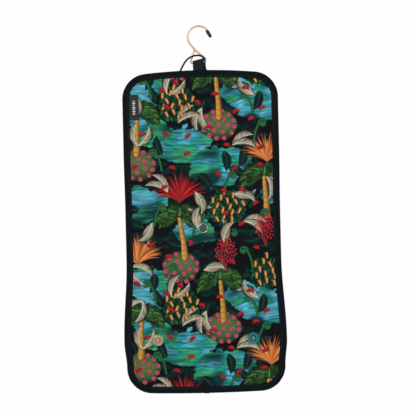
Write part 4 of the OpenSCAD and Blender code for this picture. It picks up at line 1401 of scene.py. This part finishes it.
def build_back():
    """The two pockets, the clear pouch and their zips."""
    nylon, net, vinyl = (NYLON, "nylon_lining"), (NET, "mesh_net"), (VINYL, "clear_pvc")
    build_pocket(UPPER_POCKET, "upper_pocket", "upper_panel", 1.0, *nylon, "upper_pocket_front", 0.8)
    build_pocket(POUCH, "pouch", "pouch", 0.6, *vinyl, "pouch_window", 0.9)
    mesh = make("lower_pocket_net", *netting(LOWER_POCKET, 1.0, 1.0), *net)
    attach(mesh, "lower_panel")
    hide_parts("lower_pocket_front")
    for p, word, body in ((UPPER_POCKET, "upper_pocket", "upper_panel"),
                          (LOWER_POCKET, "lower_pocket", "lower_panel")):
        side = make(word + "_sides", *pocket_band(p, walls(BACK, p[5])), *nylon)
        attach(side, body)
        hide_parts(word + "_gusset")
        edge = make(word + "_hem", *pocket_band(p, hem(p[5], 1.0)), BINDING_PLAIN, "black_binding")
        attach(edge, body)
    inner = (103.0, 179.0, 321.0, 11.0, 11.0)
    side = make("pouch_sides", *pocket_band(inner, walls(BACK + 1.1, POUCH[5])), *vinyl)
    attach(side, "pouch")
    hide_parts("pouch_gusset")
    xs, ds = np.linspace(-104, 104, 84), np.linspace(178, 322, 58)
    plate = gridded(xs, ds, lambda x, d: (pocket_inset(POUCH, x, d) > 1.1) & (np.hypot(x, d - CAP_AT) > 6.2),
                    level(POUCH_Y), level(BACK + 1.1))
    rear = make("pouch_rear", *plate, *nylon)
    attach(rear, "pouch")
    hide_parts("pouch_back")
    bound = np.array([(1.0, 2.85), (0.3, 2.85), (0.0, 3.4), (0.0, 8.6), (0.25, 9.6), (0.9, 9.98), (3.0, 10.0),
                      (5.4, 9.9), (6.0, 9.5), (6.0, 9.15), (1.0, 9.15)])
    edge = make("pouch_edge_tape", *pocket_band(POUCH, bound, 1.5), BINDING_PLAIN, "black_binding")
    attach(edge, "pouch")
    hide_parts("pouch_binding")
    zips = ((UPPER_POCKET, "upper", "upper_panel"), (POUCH, "pouch", "pouch"),
            (LOWER_POCKET, "lower", "lower_panel"))
    for p, word, body in zips:
        t = 0.6 if p is POUCH else 1.0
        tape = make(word + "_tape_cloth", *tape_slab(p), TAPE, "zip_tape")
        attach(tape, body)
        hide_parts(word + "_zip_tape")
        teeth = make(word + "_coil", *coil(p), COIL, "zip_coil")
        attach(teeth, body)
        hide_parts(word + "_zip_teeth")
        lips = make(word + "_zip_lips", *slit_hem(p, t), BINDING_PLAIN, "black_binding")
        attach(lips, body)


BINDING_PLAIN = cloth("black_tape_narrow", (0.004, 0.006, 0.010), (0.022, 0.028, 0.038), 0.7, (0.55, 0.75),
                      0.15, 0.2)
build_back()


def finish_cad_nodes():
    """Metal finishes and softened edges on the CAD nodes that stay."""
    for name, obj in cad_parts.items():
        if obj.hide_render:
            continue
        finish = STEEL if name.endswith("_washers") else GOLD
        obj.data.materials.clear()
        obj.data.materials.append(finish)
        if name.endswith(("_slider", "_pull")):
            soft = obj.modifiers.new("soft_edges", "BEVEL")
            soft.width, soft.segments, soft.limit_method = 0.22 * MM, 2, "ANGLE"
            soft.angle_limit = math.radians(40)


finish_cad_nodes()


# --- Floor, light and world ---

def build_studio():
    """A pale floor, three soft lamps, and a backdrop that the camera sees as white."""
    mesh = bpy.data.meshes.new("floor")
    half, z = 0.62, -0.80
    corners = [(-half, -half, z), (half, -half, z), (half, half, z), (-half, half, z)]
    mesh.from_pydata(corners, [], [(0, 1, 2, 3)])
    floor = bpy.data.objects.new("floor", mesh)
    bpy.context.scene.collection.objects.link(floor)
    pale = plastic("pale_floor", (0.80, 0.80, 0.79), (0.86, 0.86, 0.85), (0.7, 0.85), 8.0, 0.05,
                   resting=False)
    mesh.materials.append(pale)
    lamps = (("key", (-0.9, -1.5, 0.6), (0, 0, -0.30), 0.9, 16),
             ("fill", (1.2, -1.3, -0.1), (0, 0, -0.35), 1.0, 7),
             ("back", (0.3, 1.6, 0.5), (0, 0, -0.30), 1.0, 16))
    for name, at, target, size, power in lamps:
        lamp = bpy.data.lights.new(name, "AREA")
        lamp.shape, lamp.size, lamp.energy = "DISK", size, power
        obj = bpy.data.objects.new(name, lamp)
        obj.location = at
        obj.rotation_euler = (Vector(target) - Vector(at)).to_track_quat("-Z", "Y").to_euler()
        bpy.context.scene.collection.objects.link(obj)
    bpy.context.scene.view_settings.view_transform = "Standard"
    world = bpy.data.worlds.new("studio")
    bpy.context.scene.world = world
    world.use_nodes = True
    tree = world.node_tree
    shade, plain = tree.nodes["Background"], tree.nodes.new("ShaderNodeBackground")
    for background, strength in ((shade, 0.55), (plain, 0.99)):
        background.inputs["Color"].default_value = (1, 1, 1, 1)
        background.inputs["Strength"].default_value = strength
    path, mix = tree.nodes.new("ShaderNodeLightPath"), tree.nodes.new("ShaderNodeMixShader")
    tree.links.new(path.outputs["Is Camera Ray"], mix.inputs[0])
    tree.links.new(shade.outputs[0], mix.inputs[1])
    tree.links.new(plain.outputs[0], mix.inputs[2])
    tree.links.new(mix.outputs[0], tree.nodes["World Output"].inputs["Surface"])


build_studio()
